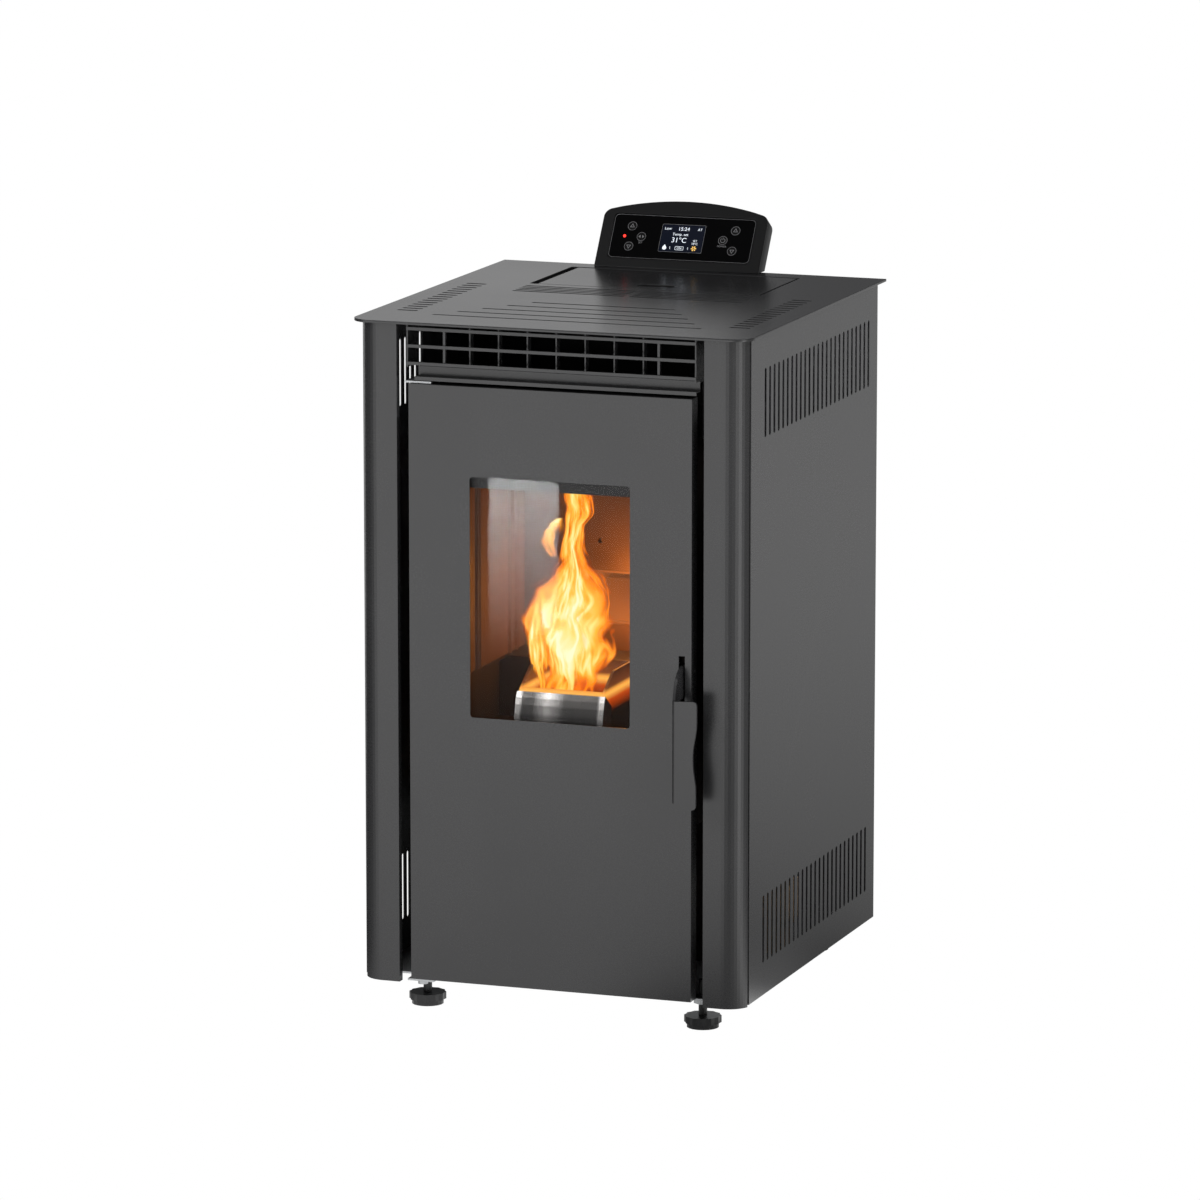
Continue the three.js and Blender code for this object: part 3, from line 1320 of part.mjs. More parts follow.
// Smoke fan housing: a drum with its outlet to the back and an inlet box to the firebox.
function smokeHousing() {
  const w = SMOKE_WALL;
  const back = caseBack - SHEET * 2 - 60;
  const drum = join(
    rod([smokeX, SMOKE_Y, SMOKE_Z], [smokeRight, SMOKE_Y, SMOKE_Z], SMOKE_RADIUS, 24),
    box(smokeX, smokeRight, SMOKE_Y, back, SMOKE_Z - SMOKE_RADIUS, SMOKE_Z + 12),
  );
  const cavity = join(
    rod([smokeX + w, SMOKE_Y, SMOKE_Z], [smokeRight - w, SMOKE_Y, SMOKE_Z], SMOKE_RADIUS - w, 24),
    box(smokeX + w, smokeRight - w, SMOKE_Y, back + CUT, SMOKE_Z - SMOKE_RADIUS + w, SMOKE_Z + 12 - w),
  );
  const duct = cut(
    box(smokeRight - 1, smokeRight + 46, BOX_BACK + GAP, SMOKE_Y + SMOKE_EYE + 4, BOX_BOTTOM + 2,
      SMOKE_Z + SMOKE_EYE + 3),
    box(smokeRight, smokeRight + 44, BOX_BACK - CUT, SMOKE_Y + SMOKE_EYE + 2, BOX_BOTTOM + 4,
      SMOKE_Z + SMOKE_EYE + 1),
  );
  const eye = rod([smokeRight - w - CUT, SMOKE_Y, SMOKE_Z], [smokeRight + CUT, SMOKE_Y, SMOKE_Z],
    SMOKE_EYE, 20);
  const shaft = rod([smokeX - CUT, SMOKE_Y, SMOKE_Z], [smokeX + w + CUT, SMOKE_Y, SMOKE_Z],
    shaftRadius + 1, 16);
  return cut(join(drum, duct), cavity, eye, shaft);
}

function smokeImpeller() {
  const r = SMOKE_RADIUS - SMOKE_WALL - 7;
  const x0 = smokeX + SMOKE_WALL + 5;
  const disc = rod([x0, SMOKE_Y, SMOKE_Z], [x0 + 2, SMOKE_Y, SMOKE_Z], r, 24);
  const hub = rod([x0 + 1, SMOKE_Y, SMOKE_Z], [x0 + 14, SMOKE_Y, SMOKE_Z], 9, 16);
  const shaft = rod([smokeX - 12, SMOKE_Y, SMOKE_Z], [x0 + 1, SMOKE_Y, SMOKE_Z], shaftRadius, 12);
  const blades = Array.from({ length: SMOKE_BLADES }, (_, i) => {
    const blade = box(x0 + 1.5, smokeRight - SMOKE_WALL - 8, -1.2, 1.2, 7, r - 1);
    return blade.rotateX((i / SMOKE_BLADES) * Math.PI * 2).translate(0, SMOKE_Y, SMOKE_Z);
  });
  return join(disc, hub, shaft, ...blades);
}

function smokeMotor() {
  const x1 = smokeX - GAP;
  const can = rod([x1 - SMOKE_MOTOR_LENGTH, SMOKE_Y, SMOKE_Z], [x1 - 3, SMOKE_Y, SMOKE_Z],
    SMOKE_MOTOR_RADIUS, 20);
  const plate = rod([x1 - 4, SMOKE_Y, SMOKE_Z], [x1, SMOKE_Y, SMOKE_Z], SMOKE_MOTOR_RADIUS + 8, 20);
  const bore = rod([x1 - 16, SMOKE_Y, SMOKE_Z], [x1 + CUT, SMOKE_Y, SMOKE_Z], shaftRadius + RUN, 16);
  return cut(join(can, plate), bore);
}

// The flue outlet: a square flange on the fan housing and a round spigot through the back panel.
function flueOutlet() {
  const y0 = caseBack - SHEET * 2 - 60 + GAP;
  const y1 = caseBack + FLUE_REACH;
  const flange = box(flueX - FLUE_RADIUS - 4, flueX + FLUE_RADIUS + 4, y0, y0 + 3, flueZ - FLUE_RADIUS - 4,
    flueZ + FLUE_RADIUS + 4);
  const tube = rod([flueX, y0 + 1, flueZ], [flueX, y1, flueZ], FLUE_RADIUS, 24);
  const bead = rod([flueX, y1 - 14, flueZ], [flueX, y1 - 10, flueZ], FLUE_RADIUS + 1.2, 24);
  const bore = rod([flueX, y0 - CUT, flueZ], [flueX, y1 + CUT, flueZ], FLUE_RADIUS - PIPE_WALL, 24);
  return cut(join(flange, tube, bead), bore);
}

function airInlet() {
  const y0 = BOX_BACK - BOX_WALL;
  const y1 = caseBack + FLUE_REACH - 6;
  const tube = rod([INLET_X, y0, INLET_Z], [INLET_X, y1, INLET_Z], INLET_RADIUS, 24);
  const collar = rod([INLET_X, BOX_BACK + GAP, INLET_Z], [INLET_X, BOX_BACK + 4, INLET_Z],
    INLET_RADIUS + 7, 24);
  const bore = rod([INLET_X, y0 - CUT, INLET_Z], [INLET_X, y1 + CUT, INLET_Z], INLET_RADIUS - PIPE_WALL, 24);
  return cut(join(tube, collar), bore);
}

// Room fan housing: a half-round trough open below, blowing up behind the firebox.
function roomHousing() {
  const t = SHEET;
  const x0 = ROOM_LEFT;
  const x1 = ROOM_LEFT + ROOM_WIDTH;
  const R = ROOM_HOUSING;
  const profile = new THREE.Shape();
  profile.moveTo(ROOM_Y - R, ROOM_Z + R + 10);
  profile.lineTo(ROOM_Y - R, ROOM_Z);
  profile.absarc(ROOM_Y, ROOM_Z, R, Math.PI, Math.PI * 2, false);
  profile.lineTo(ROOM_Y + R, ROOM_Z + 10);
  profile.lineTo(ROOM_Y + 4, ROOM_Z + R + 10);
  const block = alongX(profile, x0, x1, 6);
  const cavity = alongX(innerTrough(t), x0 + t, x1 - t, 6);
  const eyes = rod([x0 - CUT, ROOM_Y, ROOM_Z], [x1 + CUT, ROOM_Y, ROOM_Z], shaftRadius + 2, 16);
  const intake = box(x0 + 12, x1 - 12, ROOM_Y + R - 12, ROOM_Y + R + CUT, ROOM_Z - 14, ROOM_Z + 6);
  const feetBars = [x0 + 10, x1 - 20].map((x) =>
    box(x, x + 10, ROOM_Y - R + 12, ROOM_Y + R - 12, baseTop + GAP, ROOM_Z - R + 4),
  );
  return cut(join(block, ...feetBars), cavity, eyes, intake);
}

function innerTrough(t) {
  const R = ROOM_HOUSING - t;
  const s = new THREE.Shape();
  s.moveTo(ROOM_Y - R, ROOM_Z + ROOM_HOUSING + 10 + CUT);
  s.lineTo(ROOM_Y - R, ROOM_Z);
  s.absarc(ROOM_Y, ROOM_Z, R, Math.PI, Math.PI * 2, false);
  s.lineTo(ROOM_Y + R, ROOM_Z + 10 - t);
  s.lineTo(ROOM_Y + 4 - t, ROOM_Z + ROOM_HOUSING + 10 - t);
  s.lineTo(ROOM_Y + 4 - t, ROOM_Z + ROOM_HOUSING + 10 + CUT);
  return s;
}

// The drum rotor: curved-in blades between end discs.
function roomRotor() {
  const x0 = ROOM_LEFT + 8;
  const x1 = ROOM_LEFT + ROOM_WIDTH - 8;
  const middle = (x0 + x1) / 2;
  const at = (x) => [x, ROOM_Y, ROOM_Z];
  const discs = [x0, middle - 1, x1 - 2].map((x) => rod(at(x), at(x + 2), ROOM_DRUM, 20));
  const shaft = rod(at(ROOM_LEFT - 6), at(ROOM_LEFT + ROOM_WIDTH + 12), shaftRadius, 12);
  const blades = Array.from({ length: ROOM_BLADES }, (_, i) => {
    const blade = box(x0 + 1, x1 - 1, -0.8, 0.8, -5, 5).rotateX(0.6);
    return blade
      .translate(0, 0, ROOM_DRUM - 6)
      .rotateX((i / ROOM_BLADES) * Math.PI * 2)
      .translate(0, ROOM_Y, ROOM_Z);
  });
  return join(...discs, shaft, ...blades);
}

function roomMotor() {
  const x0 = ROOM_LEFT + ROOM_WIDTH + GAP;
  const at = (x) => [x, ROOM_Y, ROOM_Z];
  const can = rod(at(x0 + 2), at(x0 + ROOM_MOTOR_LENGTH), ROOM_MOTOR_RADIUS, 24);
  const plate = rod(at(x0), at(x0 + 3), ROOM_MOTOR_RADIUS + 6, 24);
  const foot = box(x0 + 6, x0 + 24, ROOM_Y - 16, ROOM_Y + 16, baseTop + GAP, ROOM_Z - 20);
  return cut(join(can, plate, foot), rod(at(x0 - CUT), at(x0 + 16), shaftRadius + RUN, 16));
}

// ---------------------------------------------------------------- electrics

function controlBoard() {
  const wall = caseHalf - SHEET - GAP;
  const x1 = wall - BOARD_STANDOFF;
  const x0 = x1 - BOARD_THICK;
  const y1 = BOARD_Y + BOARD_WIDTH;
  const z1 = BOARD_Z + BOARD_HEIGHT;
  const board = box(x0, x1, BOARD_Y, y1, BOARD_Z, z1);
  const posts = [];
  for (const y of [BOARD_Y + 6, y1 - 6]) {
    for (const z of [BOARD_Z + 6, z1 - 6]) posts.push(rod([x1 - 0.5, y, z], [wall, y, z], 3, 6));
  }
  const relay = (y, z, w, h, d) => box(x0 - d, x0 + 0.3, y, y + w, z, z + h);
  return join(board, ...posts,
    relay(BOARD_Y + 12, BOARD_Z + 60, 38, 34, 30),
    relay(BOARD_Y + 60, BOARD_Z + 72, 20, 16, 14),
    relay(BOARD_Y + 86, BOARD_Z + 72, 20, 16, 14),
    relay(BOARD_Y + 112, BOARD_Z + 72, 20, 16, 14),
    relay(BOARD_Y + 20, BOARD_Z + 10, 104, 12, 10),
    rod([x0 - 22, BOARD_Y + 76, BOARD_Z + 44], [x0 + 0.3, BOARD_Y + 76, BOARD_Z + 44], 9, 10),
    rod([x0 - 22, BOARD_Y + 104, BOARD_Z + 44], [x0 + 0.3, BOARD_Y + 104, BOARD_Z + 44], 9, 10));
}

// Mains inlet: one housing with the three-pin socket below and the rocker's frame above.
const inletBack = caseBack - SHEET - GAP;
function mainsInlet() {
  const h = SOCKET_WIDTH / 2;
  const top = rockerZ + ROCKER_HEIGHT / 2 + 2;
  const bottom = socketZ - SOCKET_HEIGHT / 2;
  const body = box(SOCKET_X - h, SOCKET_X + h, inletBack - SOCKET_DEPTH, inletBack + 0.5, bottom, top);
  const bezel = raiseBack(rounded(SOCKET_X - h - 6, SOCKET_X + h + 6, bottom - 3, top + 3, 3));
  const well = box(SOCKET_X - h + 3, SOCKET_X + h - 3, inletBack - SOCKET_DEPTH + 4, inletBack + 6,
    bottom + 3, bottom + SOCKET_HEIGHT - 3);
  const pins = [-7, 0, 7].map((x) =>
    box(SOCKET_X + x - 1, SOCKET_X + x + 1, inletBack - SOCKET_DEPTH + 3, inletBack - 4, socketZ - 2.5,
      socketZ + 2.5),
  );
  const nest = box(SOCKET_X - ROCKER_WIDTH / 2 - 0.5, SOCKET_X + ROCKER_WIDTH / 2 + 0.5, inletBack - 14,
    inletBack + 6, rockerZ - ROCKER_HEIGHT / 2 - 0.5, rockerZ + ROCKER_HEIGHT / 2 + 0.5);
  return join(cut(join(body, bezel), well, nest), ...pins);
}

function raiseBack(shape) {
  return alongY(shape, inletBack + GAP, inletBack + 2.5, 4);
}

// The rocker: a key that tilts about its middle.
const rockerAxisY = inletBack - 3;
function rocker() {
  const h = ROCKER_HEIGHT / 2;
  const s = outline([
    [rockerAxisY - 6, rockerZ - h + 3],
    [rockerAxisY - 6, rockerZ + h - 3],
    [inletBack + 1.2, rockerZ + h - 1.2],
    [inletBack + 1.8, rockerZ],
    [inletBack + 4, rockerZ - h + 1.6],
  ]);
  return alongX(s, SOCKET_X - ROCKER_WIDTH / 2, SOCKET_X + ROCKER_WIDTH / 2);
}

function igniter() {
  const y0 = POT_BACK + 6;
  const tip = rod([0, y0, IGNITER_Z], [0, BOX_BACK + 30, IGNITER_Z], IGNITER_RADIUS, 16);
  const holder = rod([0, BOX_BACK + GAP, IGNITER_Z], [0, BOX_BACK + 12, IGNITER_Z], IGNITER_RADIUS + 6, 6);
  return join(tip, holder);
}

// ---------------------------------------------------------------- control panel

const lean = THREE.MathUtils.degToRad(PANEL_LEAN);
const faceMiddle = FACE_LEFT + FACE_WIDTH / 2;
const faceCentre = FACE_BOTTOM + FACE_HEIGHT / 2;
const overlayFront = -0.8;

// Panel pieces are drawn flat, x along the face and y up it, and stood up by the panel's group.
const panel = new THREE.Group();
panel.position.set(PANEL_X, PANEL_Y, TOP_HEIGHT + GAP);
panel.rotation.x = Math.PI / 2 - lean;
stove.add(panel);

const keys = [
  ["key_left_up", -KEY_OUTER, KEY_RISE],
  ["key_left_menu", -KEY_INNER, 0],
  ["key_left_down", -KEY_OUTER, -KEY_RISE],
  ["key_right_up", KEY_OUTER, KEY_RISE],
  ["key_power", KEY_INNER, 0],
  ["key_right_down", KEY_OUTER, -KEY_RISE],
].map(([name, u, v]) => [name, faceMiddle + u, faceCentre + v]);

function panelHousing() {
  const w = PANEL_WIDTH;
  const c = PANEL_CORNER;
  const s = new THREE.Shape();
  s.moveTo(0, 0);
  s.lineTo(w, 0);
  s.lineTo(w, PANEL_SIDE);
  s.quadraticCurveTo(w, PANEL_SIDE + c * 0.7, w - c, PANEL_SIDE + c * 0.95);
  s.quadraticCurveTo(w / 2, PANEL_SIDE + PANEL_ARCH * 1.45, c, PANEL_SIDE + c * 0.95);
  s.quadraticCurveTo(0, PANEL_SIDE + c * 0.7, 0, PANEL_SIDE);
  const block = raise(s, -PANEL_DEPTH, 0, 7);
  const recess = raise(faceShape(0), -FACE_DEPTH, CUT, 4);
  const wells = keys.map(([, x, y]) =>
    rod([x, y, -FACE_DEPTH - KEY_TRAVEL - 0.4], [x, y, CUT], KEY_RADIUS + GAP, 16),
  );
  const screen = lcdShape(GAP);
  const pocket = raise(screen, overlayFront - LCD_DEPTH - 1, CUT, 4);
  const light = rod([ledX, faceCentre, -8], [ledX, faceCentre, CUT], LED_RADIUS + GAP, 10);
  // The foot is cut level with the top plate.
  const level = box(-CUT, w + CUT, -60, 60, -60, 0).rotateX(-(Math.PI / 2 - lean));
  return cut(block, recess, ...wells, pocket, light, level);
}

const ledX = faceMiddle - LED_OFFSET;

function faceShape(grow) {
  return rounded(FACE_LEFT - grow, FACE_LEFT + FACE_WIDTH + grow, FACE_BOTTOM - grow,
    FACE_BOTTOM + FACE_HEIGHT + grow, FACE_CORNER);
}

function lcdShape(grow, Kind) {
  return rounded(faceMiddle - LCD_WIDTH / 2 - grow, faceMiddle + LCD_WIDTH / 2 + grow,
    faceCentre - LCD_HEIGHT / 2 - grow, faceCentre + LCD_HEIGHT / 2 + grow, 0.8, 1, Kind);
}

function panelOverlay() {
  const s = faceShape(-GAP);
  for (const [, x, y] of keys) s.holes.push(circle(x, y, KEY_RADIUS + GAP, 16));
  s.holes.push(circle(ledX, faceCentre, LED_RADIUS + GAP, 10), lcdShape(GAP, THREE.Path));
  return raise(s, overlayFront - OVERLAY_THICK, overlayFront);
}

// ---------------------------------------------------------------- assembly

place(stove, "base_plate", galvanised, basePlate());
for (const [name, x, y] of feet) place(stove, "levelling_foot_" + name, rubber, foot(x, y));
place(stove, "left_side_panel", enamel, sidePanel(-1));
place(stove, "right_side_panel", enamel, sidePanel(1));
place(stove, "left_front_column", enamel, frontColumn(-1));
place(stove, "right_front_column", enamel, frontColumn(1));
place(stove, "rear_panel", galvanised, rearPanel());
place(stove, "top_plate", topEnamel, topPlate());
place(stove, "hopper_lid", topEnamel, hopperLid());
place(stove, "warm_air_grille", enamel, airGrille());
place(stove, "front_ledge", enamel, frontLedge());

place(stove, "door_panel", enamel, doorPanel());
place(stove, "door_glass", glassy, doorGlass());
place(stove, "door_frame", darkSteel, doorFrame());
place(stove, "glass_retainer", darkSteel, glassRetainer());
place(stove, "door_gasket", rope, doorGasket());
place(stove, "door_handle", enamel, doorLever());
place(stove, "handle_pin", galvanised, leverPin());
place(stove, "upper_hinge", galvanised, upperHinge());
place(stove, "lower_hinge_pin", galvanised, lowerHinge());

place(stove, "firebox_body", fireSteel, fireboxBody());
place(stove, "firebox_front", fireSteel, fireboxFront());
place(stove, "firebox_back_liner", vermiculite, backLiner());
place(stove, "firebox_left_liner", vermiculite, sideLiner(-1));
place(stove, "firebox_right_liner", vermiculite, sideLiner(1));
place(stove, "pot_tray", castIron, potTray());
place(stove, "burn_pot", castIron, burnPot());
place(stove, "pot_shield", polished, potShield());
place(stove, "ash_drawer", galvanised, ashDrawer());
place(stove, "warm_air_duct", galvanised, warmAirDuct());

place(stove, "hopper", galvanised, hopper());
place(stove, "feed_tube", galvanised, feedTube());
place(stove, "feed_screw", darkSteel, feedScrew());
place(stove, "feed_gear_motor", darkSteel, gearMotor());
place(stove, "drop_chute", galvanised, dropChute());

place(stove, "smoke_fan_housing", galvanised, smokeHousing());
place(stove, "smoke_fan_impeller", galvanised, smokeImpeller());
place(stove, "smoke_fan_motor", copper, smokeMotor());
place(stove, "flue_outlet", darkSteel, flueOutlet());
place(stove, "air_inlet_pipe", galvanised, airInlet());
place(stove, "room_fan_housing", galvanised, roomHousing());
place(stove, "room_fan_rotor", darkSteel, roomRotor());
place(stove, "room_fan_motor", copper, roomMotor());

place(stove, "control_board", boardGreen, controlBoard());
place(stove, "mains_inlet", blackPlastic, mainsInlet());
place(stove, "mains_rocker", blackPlastic, rocker());
place(stove, "igniter", ceramic, igniter());

place(panel, "control_panel_housing", blackPlastic, panelHousing());
place(panel, "control_panel_overlay", glassy, panelOverlay());
place(panel, "lcd_display", glassy, raise(lcdShape(0), overlayFront - LCD_DEPTH, overlayFront, 4));
const led = rod([ledX, faceCentre, -7], [ledX, faceCentre, overlayFront + 0.2], LED_RADIUS, 10);
place(panel, "status_led", redLight, led);
for (const [name, x, y] of keys) {
  const front = overlayFront + 0.2;
  place(panel, name, rubber, rod([x, y, front - KEY_THICK], [x, y, front], KEY_RADIUS, 16));
}

// The stove stands over its origin: centred left to right and front to back, feet on z = 0.
const bounds = new THREE.Box3().setFromObject(stove);
stove.position.set(-(bounds.min.x + bounds.max.x) / 2, -(bounds.min.y + bounds.max.y) / 2, -bounds.min.z);

export default stove;
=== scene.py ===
import math

import bmesh
import bpy
from mathutils import Matrix, Vector


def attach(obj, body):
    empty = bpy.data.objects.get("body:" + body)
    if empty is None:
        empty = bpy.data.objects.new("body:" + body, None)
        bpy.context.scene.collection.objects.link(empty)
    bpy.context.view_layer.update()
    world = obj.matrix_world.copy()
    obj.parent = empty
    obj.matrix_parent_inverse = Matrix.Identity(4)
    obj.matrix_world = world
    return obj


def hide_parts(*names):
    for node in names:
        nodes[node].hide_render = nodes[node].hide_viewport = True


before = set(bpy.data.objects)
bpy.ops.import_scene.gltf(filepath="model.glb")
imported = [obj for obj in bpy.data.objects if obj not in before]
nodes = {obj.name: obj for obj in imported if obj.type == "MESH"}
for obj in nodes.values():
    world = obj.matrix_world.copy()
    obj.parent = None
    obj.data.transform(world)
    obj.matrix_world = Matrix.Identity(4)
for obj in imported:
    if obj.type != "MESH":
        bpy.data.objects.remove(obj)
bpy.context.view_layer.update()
scene = bpy.context.scene
scene.view_settings.view_transform = "Standard"

# ---------------------------------------------------------------- camera
# The photograph is a long-lens view from the front right, a little above the stove. From this
# place and at these angles the casing's edges fall where they do in the photograph.
# Lengths are in metres here: x to the stove's right, y to its back, z up.
camera = bpy.data.objects.new("camera", bpy.data.cameras.new("camera"))
scene.collection.objects.link(camera)
camera.location = (2.6329, -7.4329, 1.9163)
camera.rotation_euler = (math.radians(79.257), 0, math.radians(19.711))
camera.data.lens = 220
camera.data.sensor_width = 36
camera.data.clip_end = 60
scene.camera = camera

# ---------------------------------------------------------------- floor and surround
# A studio floor and surround that the camera sees as plain white. All other rays find the
# floor lit in sectors round the stove, which the satin enamel shows as soft bands.


class Value:
    """The output of a node. It can be calculated with: + - * / make Math nodes."""

    def __init__(self, tree, socket=None):
        self.tree = tree
        self.socket = socket

    def node(self, kind, feeds=None, output=0, **settings):
        """A node of this kind: settings by name, and each input as a value or an output."""
        made = self.tree.nodes.new(kind)
        for key, value in settings.items():
            setattr(made, key, value)
        for key, value in (feeds or {}).items():
            feed(made.inputs[key], value)
        return Value(self.tree, made.outputs[output] if len(made.outputs) else None)

    def maths(self, operation, *values):
        return self.node("ShaderNodeMath", dict(enumerate(values)), operation=operation)

    def __add__(self, other):
        return self.maths("ADD", self, other)

    def __radd__(self, other):
        return self.maths("ADD", other, self)

    def __sub__(self, other):
        return self.maths("SUBTRACT", self, other)

    def __rsub__(self, other):
        return self.maths("SUBTRACT", other, self)

    def __mul__(self, other):
        return self.maths("MULTIPLY", self, other)

    __rmul__ = __mul__

    def __truediv__(self, other):
        return self.maths("DIVIDE", self, other)

    def __abs__(self):
        return self.maths("ABSOLUTE", self)

    def root(self):
        return self.maths("SQRT", self)

    def part(self, which):
        """One component of a vector: 0 for x, 1 for y, 2 for z."""
        return self.node("ShaderNodeSeparateXYZ", {0: self}, which)

    def ramp(self, low, high, smooth=True):
        """0 below low, 1 above high."""
        kind = "SMOOTHSTEP" if smooth else "LINEAR"
        feeds = {"Value": self, "From Min": low, "From Max": high}
        return self.node("ShaderNodeMapRange", feeds, interpolation_type=kind)

    def colours(self, *stops):
        """This value looked up in a row of (place, colour) stops."""
        made = self.node("ShaderNodeValToRGB", {0: self})
        elements = made.socket.node.color_ramp.elements
        while len(elements) < len(stops):
            elements.new(0.5)
        for element, (place, colour) in zip(elements, stops):
            element.position = place
            element.color = (*colour, 1)
        return made


def feed(socket, value):
    """Sets an input to a value, or links it to another node's output."""
    if isinstance(value, Value):
        value.tree.links.new(value.socket, socket)
    else:
        socket.default_value = value


def white_to_camera(tree, kind, end, name, value):
    """Plain white for the camera's own rays; the same shader with one input set for the rest."""
    start = Value(tree)
    white = start.node(kind, {"Color": (1, 1, 1, 1)})
    rest = start.node(kind, {name: value})
    seen = start.node("ShaderNodeLightPath", output="Is Camera Ray")
    feed(tree.nodes[end].inputs[0], start.node("ShaderNodeMixShader", {0: seen, 1: rest, 2: white}))


FLOOR_REACH = 30
FLOOR_LEVEL = 3.7
BRIGHTEST = 4  # what a brightness of 4 in the list below is divided by, to fit a colour ramp
floor_mesh = bpy.data.meshes.new("floor")
corners = [(x * FLOOR_REACH, y * FLOOR_REACH, 0) for x, y in ((-1, -1), (1, -1), (1, 1), (-1, 1))]
floor_mesh.from_pydata(corners, [], [(0, 1, 2, 3)])
floor = bpy.data.objects.new("floor", floor_mesh)
floor.location.z = -0.0005
scene.collection.objects.link(floor)
pale = bpy.data.materials.new("floor")
pale.use_nodes = True
spot = Value(pale.node_tree).node("ShaderNodeTexCoord", output="Object")
across, along = spot.part(0), spot.part(1)
azimuth = across.maths("ARCTAN2", across, along * -1.0) / math.tau + 0.5
# Degrees from straight in front of the stove, positive to its right, and brightness.
sectors = [(-180, 0.65), (-160, 0.9), (-140, 1.3), (-115, 0.06), (-85, 0.05), (-62, 0.2),
           (-48, 1.2), (-34, 2.2), (2, 2.25), (14, 0.7), (30, 0.6), (48, 1.2), (64, 3.8),
           (78, 1.6), (90, 0.5), (126, 0.35), (150, 0.65), (180, 0.65)]
stops = [((degrees + 180) / 360, (b / BRIGHTEST,) * 3) for degrees, b in sectors]
# Painted shade: the floor's light is dimmer close to the stove, in place of the stove's shadow on
# it.
distance = (across * across + along * along).root()
floor_light = azimuth.colours(*stops) * (distance.ramp(-1.6, 3.2) * 0.65 + 0.35) * FLOOR_LEVEL
white_to_camera(pale.node_tree, "ShaderNodeEmission", "Material Output", "Strength", floor_light)
floor_mesh.materials.append(pale)

world = bpy.data.worlds.new("studio")
scene.world = world
world.use_nodes = True
room = (0.14, 0.14, 0.143, 1)
white_to_camera(world.node_tree, "ShaderNodeBackground", "World Output", "Color", room)

# ---------------------------------------------------------------- lamps
# Two softboxes light the stove from the front left and the right. A card behind it shines
# in the top plate, and only the window sees the low strip that is mirrored in it.


def softbox(name, place, towards, width, height, power):
    lamp = bpy.data.lights.new(name, "AREA")
    lamp.shape = "RECTANGLE"
    lamp.size, lamp.size_y = width, height
    lamp.energy = power
    made = bpy.data.objects.new(name, lamp)
    made.location = place
    made.rotation_euler = (Vector(towards) - Vector(place)).to_track_quat("-Z", "Y").to_euler()
    scene.collection.objects.link(made)
    return made


softbox("left softbox", (-2.6, -3.4, 3.0), (0, 0, 0.5), 1.2, 2.2, 70)
softbox("right softbox", (2.6, -0.6, 3.0), (0.2, 0, 0.6), 1.4, 1.6, 30)
card = softbox("back card", (-1.6, 2.0, 1.1), (-1.6, 0, 1.1), 2.1, 1.2, 4.0)
card.visible_diffuse = False
strip = softbox("window_strip", (-0.35, -1.1, 0.285), (-0.35, 0, 0.285), 0.087, 0.6, 12.5)
strip.visible_camera = False
strip.visible_diffuse = False
window_only = bpy.data.collections.new("glass_only")
strip.light_linking.receiver_collection = window_only
window_only.objects.link(nodes["door_glass"])
# The strip fades towards its lower end.
strip.data.use_nodes = True
strip_tree = strip.data.node_tree
height_on_strip = Value(strip_tree).node("ShaderNodeNewGeometry", output="Parametric").part(1)
feed(strip_tree.nodes["Emission"].inputs["Strength"], height_on_strip.ramp(0.35, 0.9))

# ---------------------------------------------------------------- base plate and rear panel
# The tray that everything stands on and the flat back that closes the casing. Both are
# galvanised sheet, cut and bent, and screwed together; the zinc shows faint clouds.


class Surface:
    """A Principled material being built: values from coordinates go to its inputs."""

    def __init__(self, name, colour, rough, metal=0.0, coat=0.0):
        self.material = bpy.data.materials.new(name)
        self.material.use_nodes = True
        tree = self.material.node_tree
        self.shader = tree.nodes["Principled BSDF"]
        self.end = tree.nodes["Material Output"].inputs[0]
        self.place = Value(tree).node("ShaderNodeTexCoord", output="Object")
        self.set("Base Color", (*colour, 1))
        self.set("Roughness", rough)
        self.set("Metallic", metal)
        self.set("Coat Weight", coat)

    def set(self, name, value):
        feed(self.shader.inputs[name], value)

    def noise(self, scale, detail=3.0, stretch=(1, 1, 1)):
        """Noise in object space, about 0.5, stretched along the axes."""
        laid = self.place.node("ShaderNodeMapping", {"Vector": self.place, "Scale": stretch})
        feeds = {"Vector": laid, "Scale": scale, "Detail": detail}
        return self.place.node("ShaderNodeTexNoise", feeds)

    def bump(self, height, strength, distance=0.0005):
        feeds = {"Height": height, "Strength": strength, "Distance": distance}
        self.set("Normal", height.node("ShaderNodeBump", feeds))

    def tint(self, amount, dark, light):
        """Base colour between two colours by a value from 0 to 1."""
        self.set("Base Color", amount.colours((0, dark), (1, light)))

    def shine(self, strength, colour):
        """Light that the surface gives off."""
        self.set("Emission Color", colour)
        self.set("Emission Strength", strength)


def wear(name, dark, light, rough, metal=0.0, coat=0.0, grain=900.0, relief=0.05):
    """A finish with slight changes of tone and roughness and a fine grain."""
    made = Surface(name, light, rough, metal, coat)
    broad = made.noise(9.0, 4.0)
    fine = made.noise(grain, 2.0)
    made.tint(broad.ramp(0.3, 0.7), dark, light)
    made.set("Roughness", rough + (broad - 0.5) * 0.12 + (fine - 0.5) * 0.08)
    made.bump(fine, relief, 0.0002)
    return made


def dress(finish, *names):
    """Gives pieces of the frame a finish."""
    for name in names:
        mesh = nodes[name].data
        mesh.materials.clear()
        mesh.materials.append(finish.material)


zinc = wear("galvanised sheet", (0.42, 0.43, 0.44), (0.6, 0.61, 0.62), 0.42, 0.9, grain=300.0)
dress(zinc, "base_plate", "rear_panel")

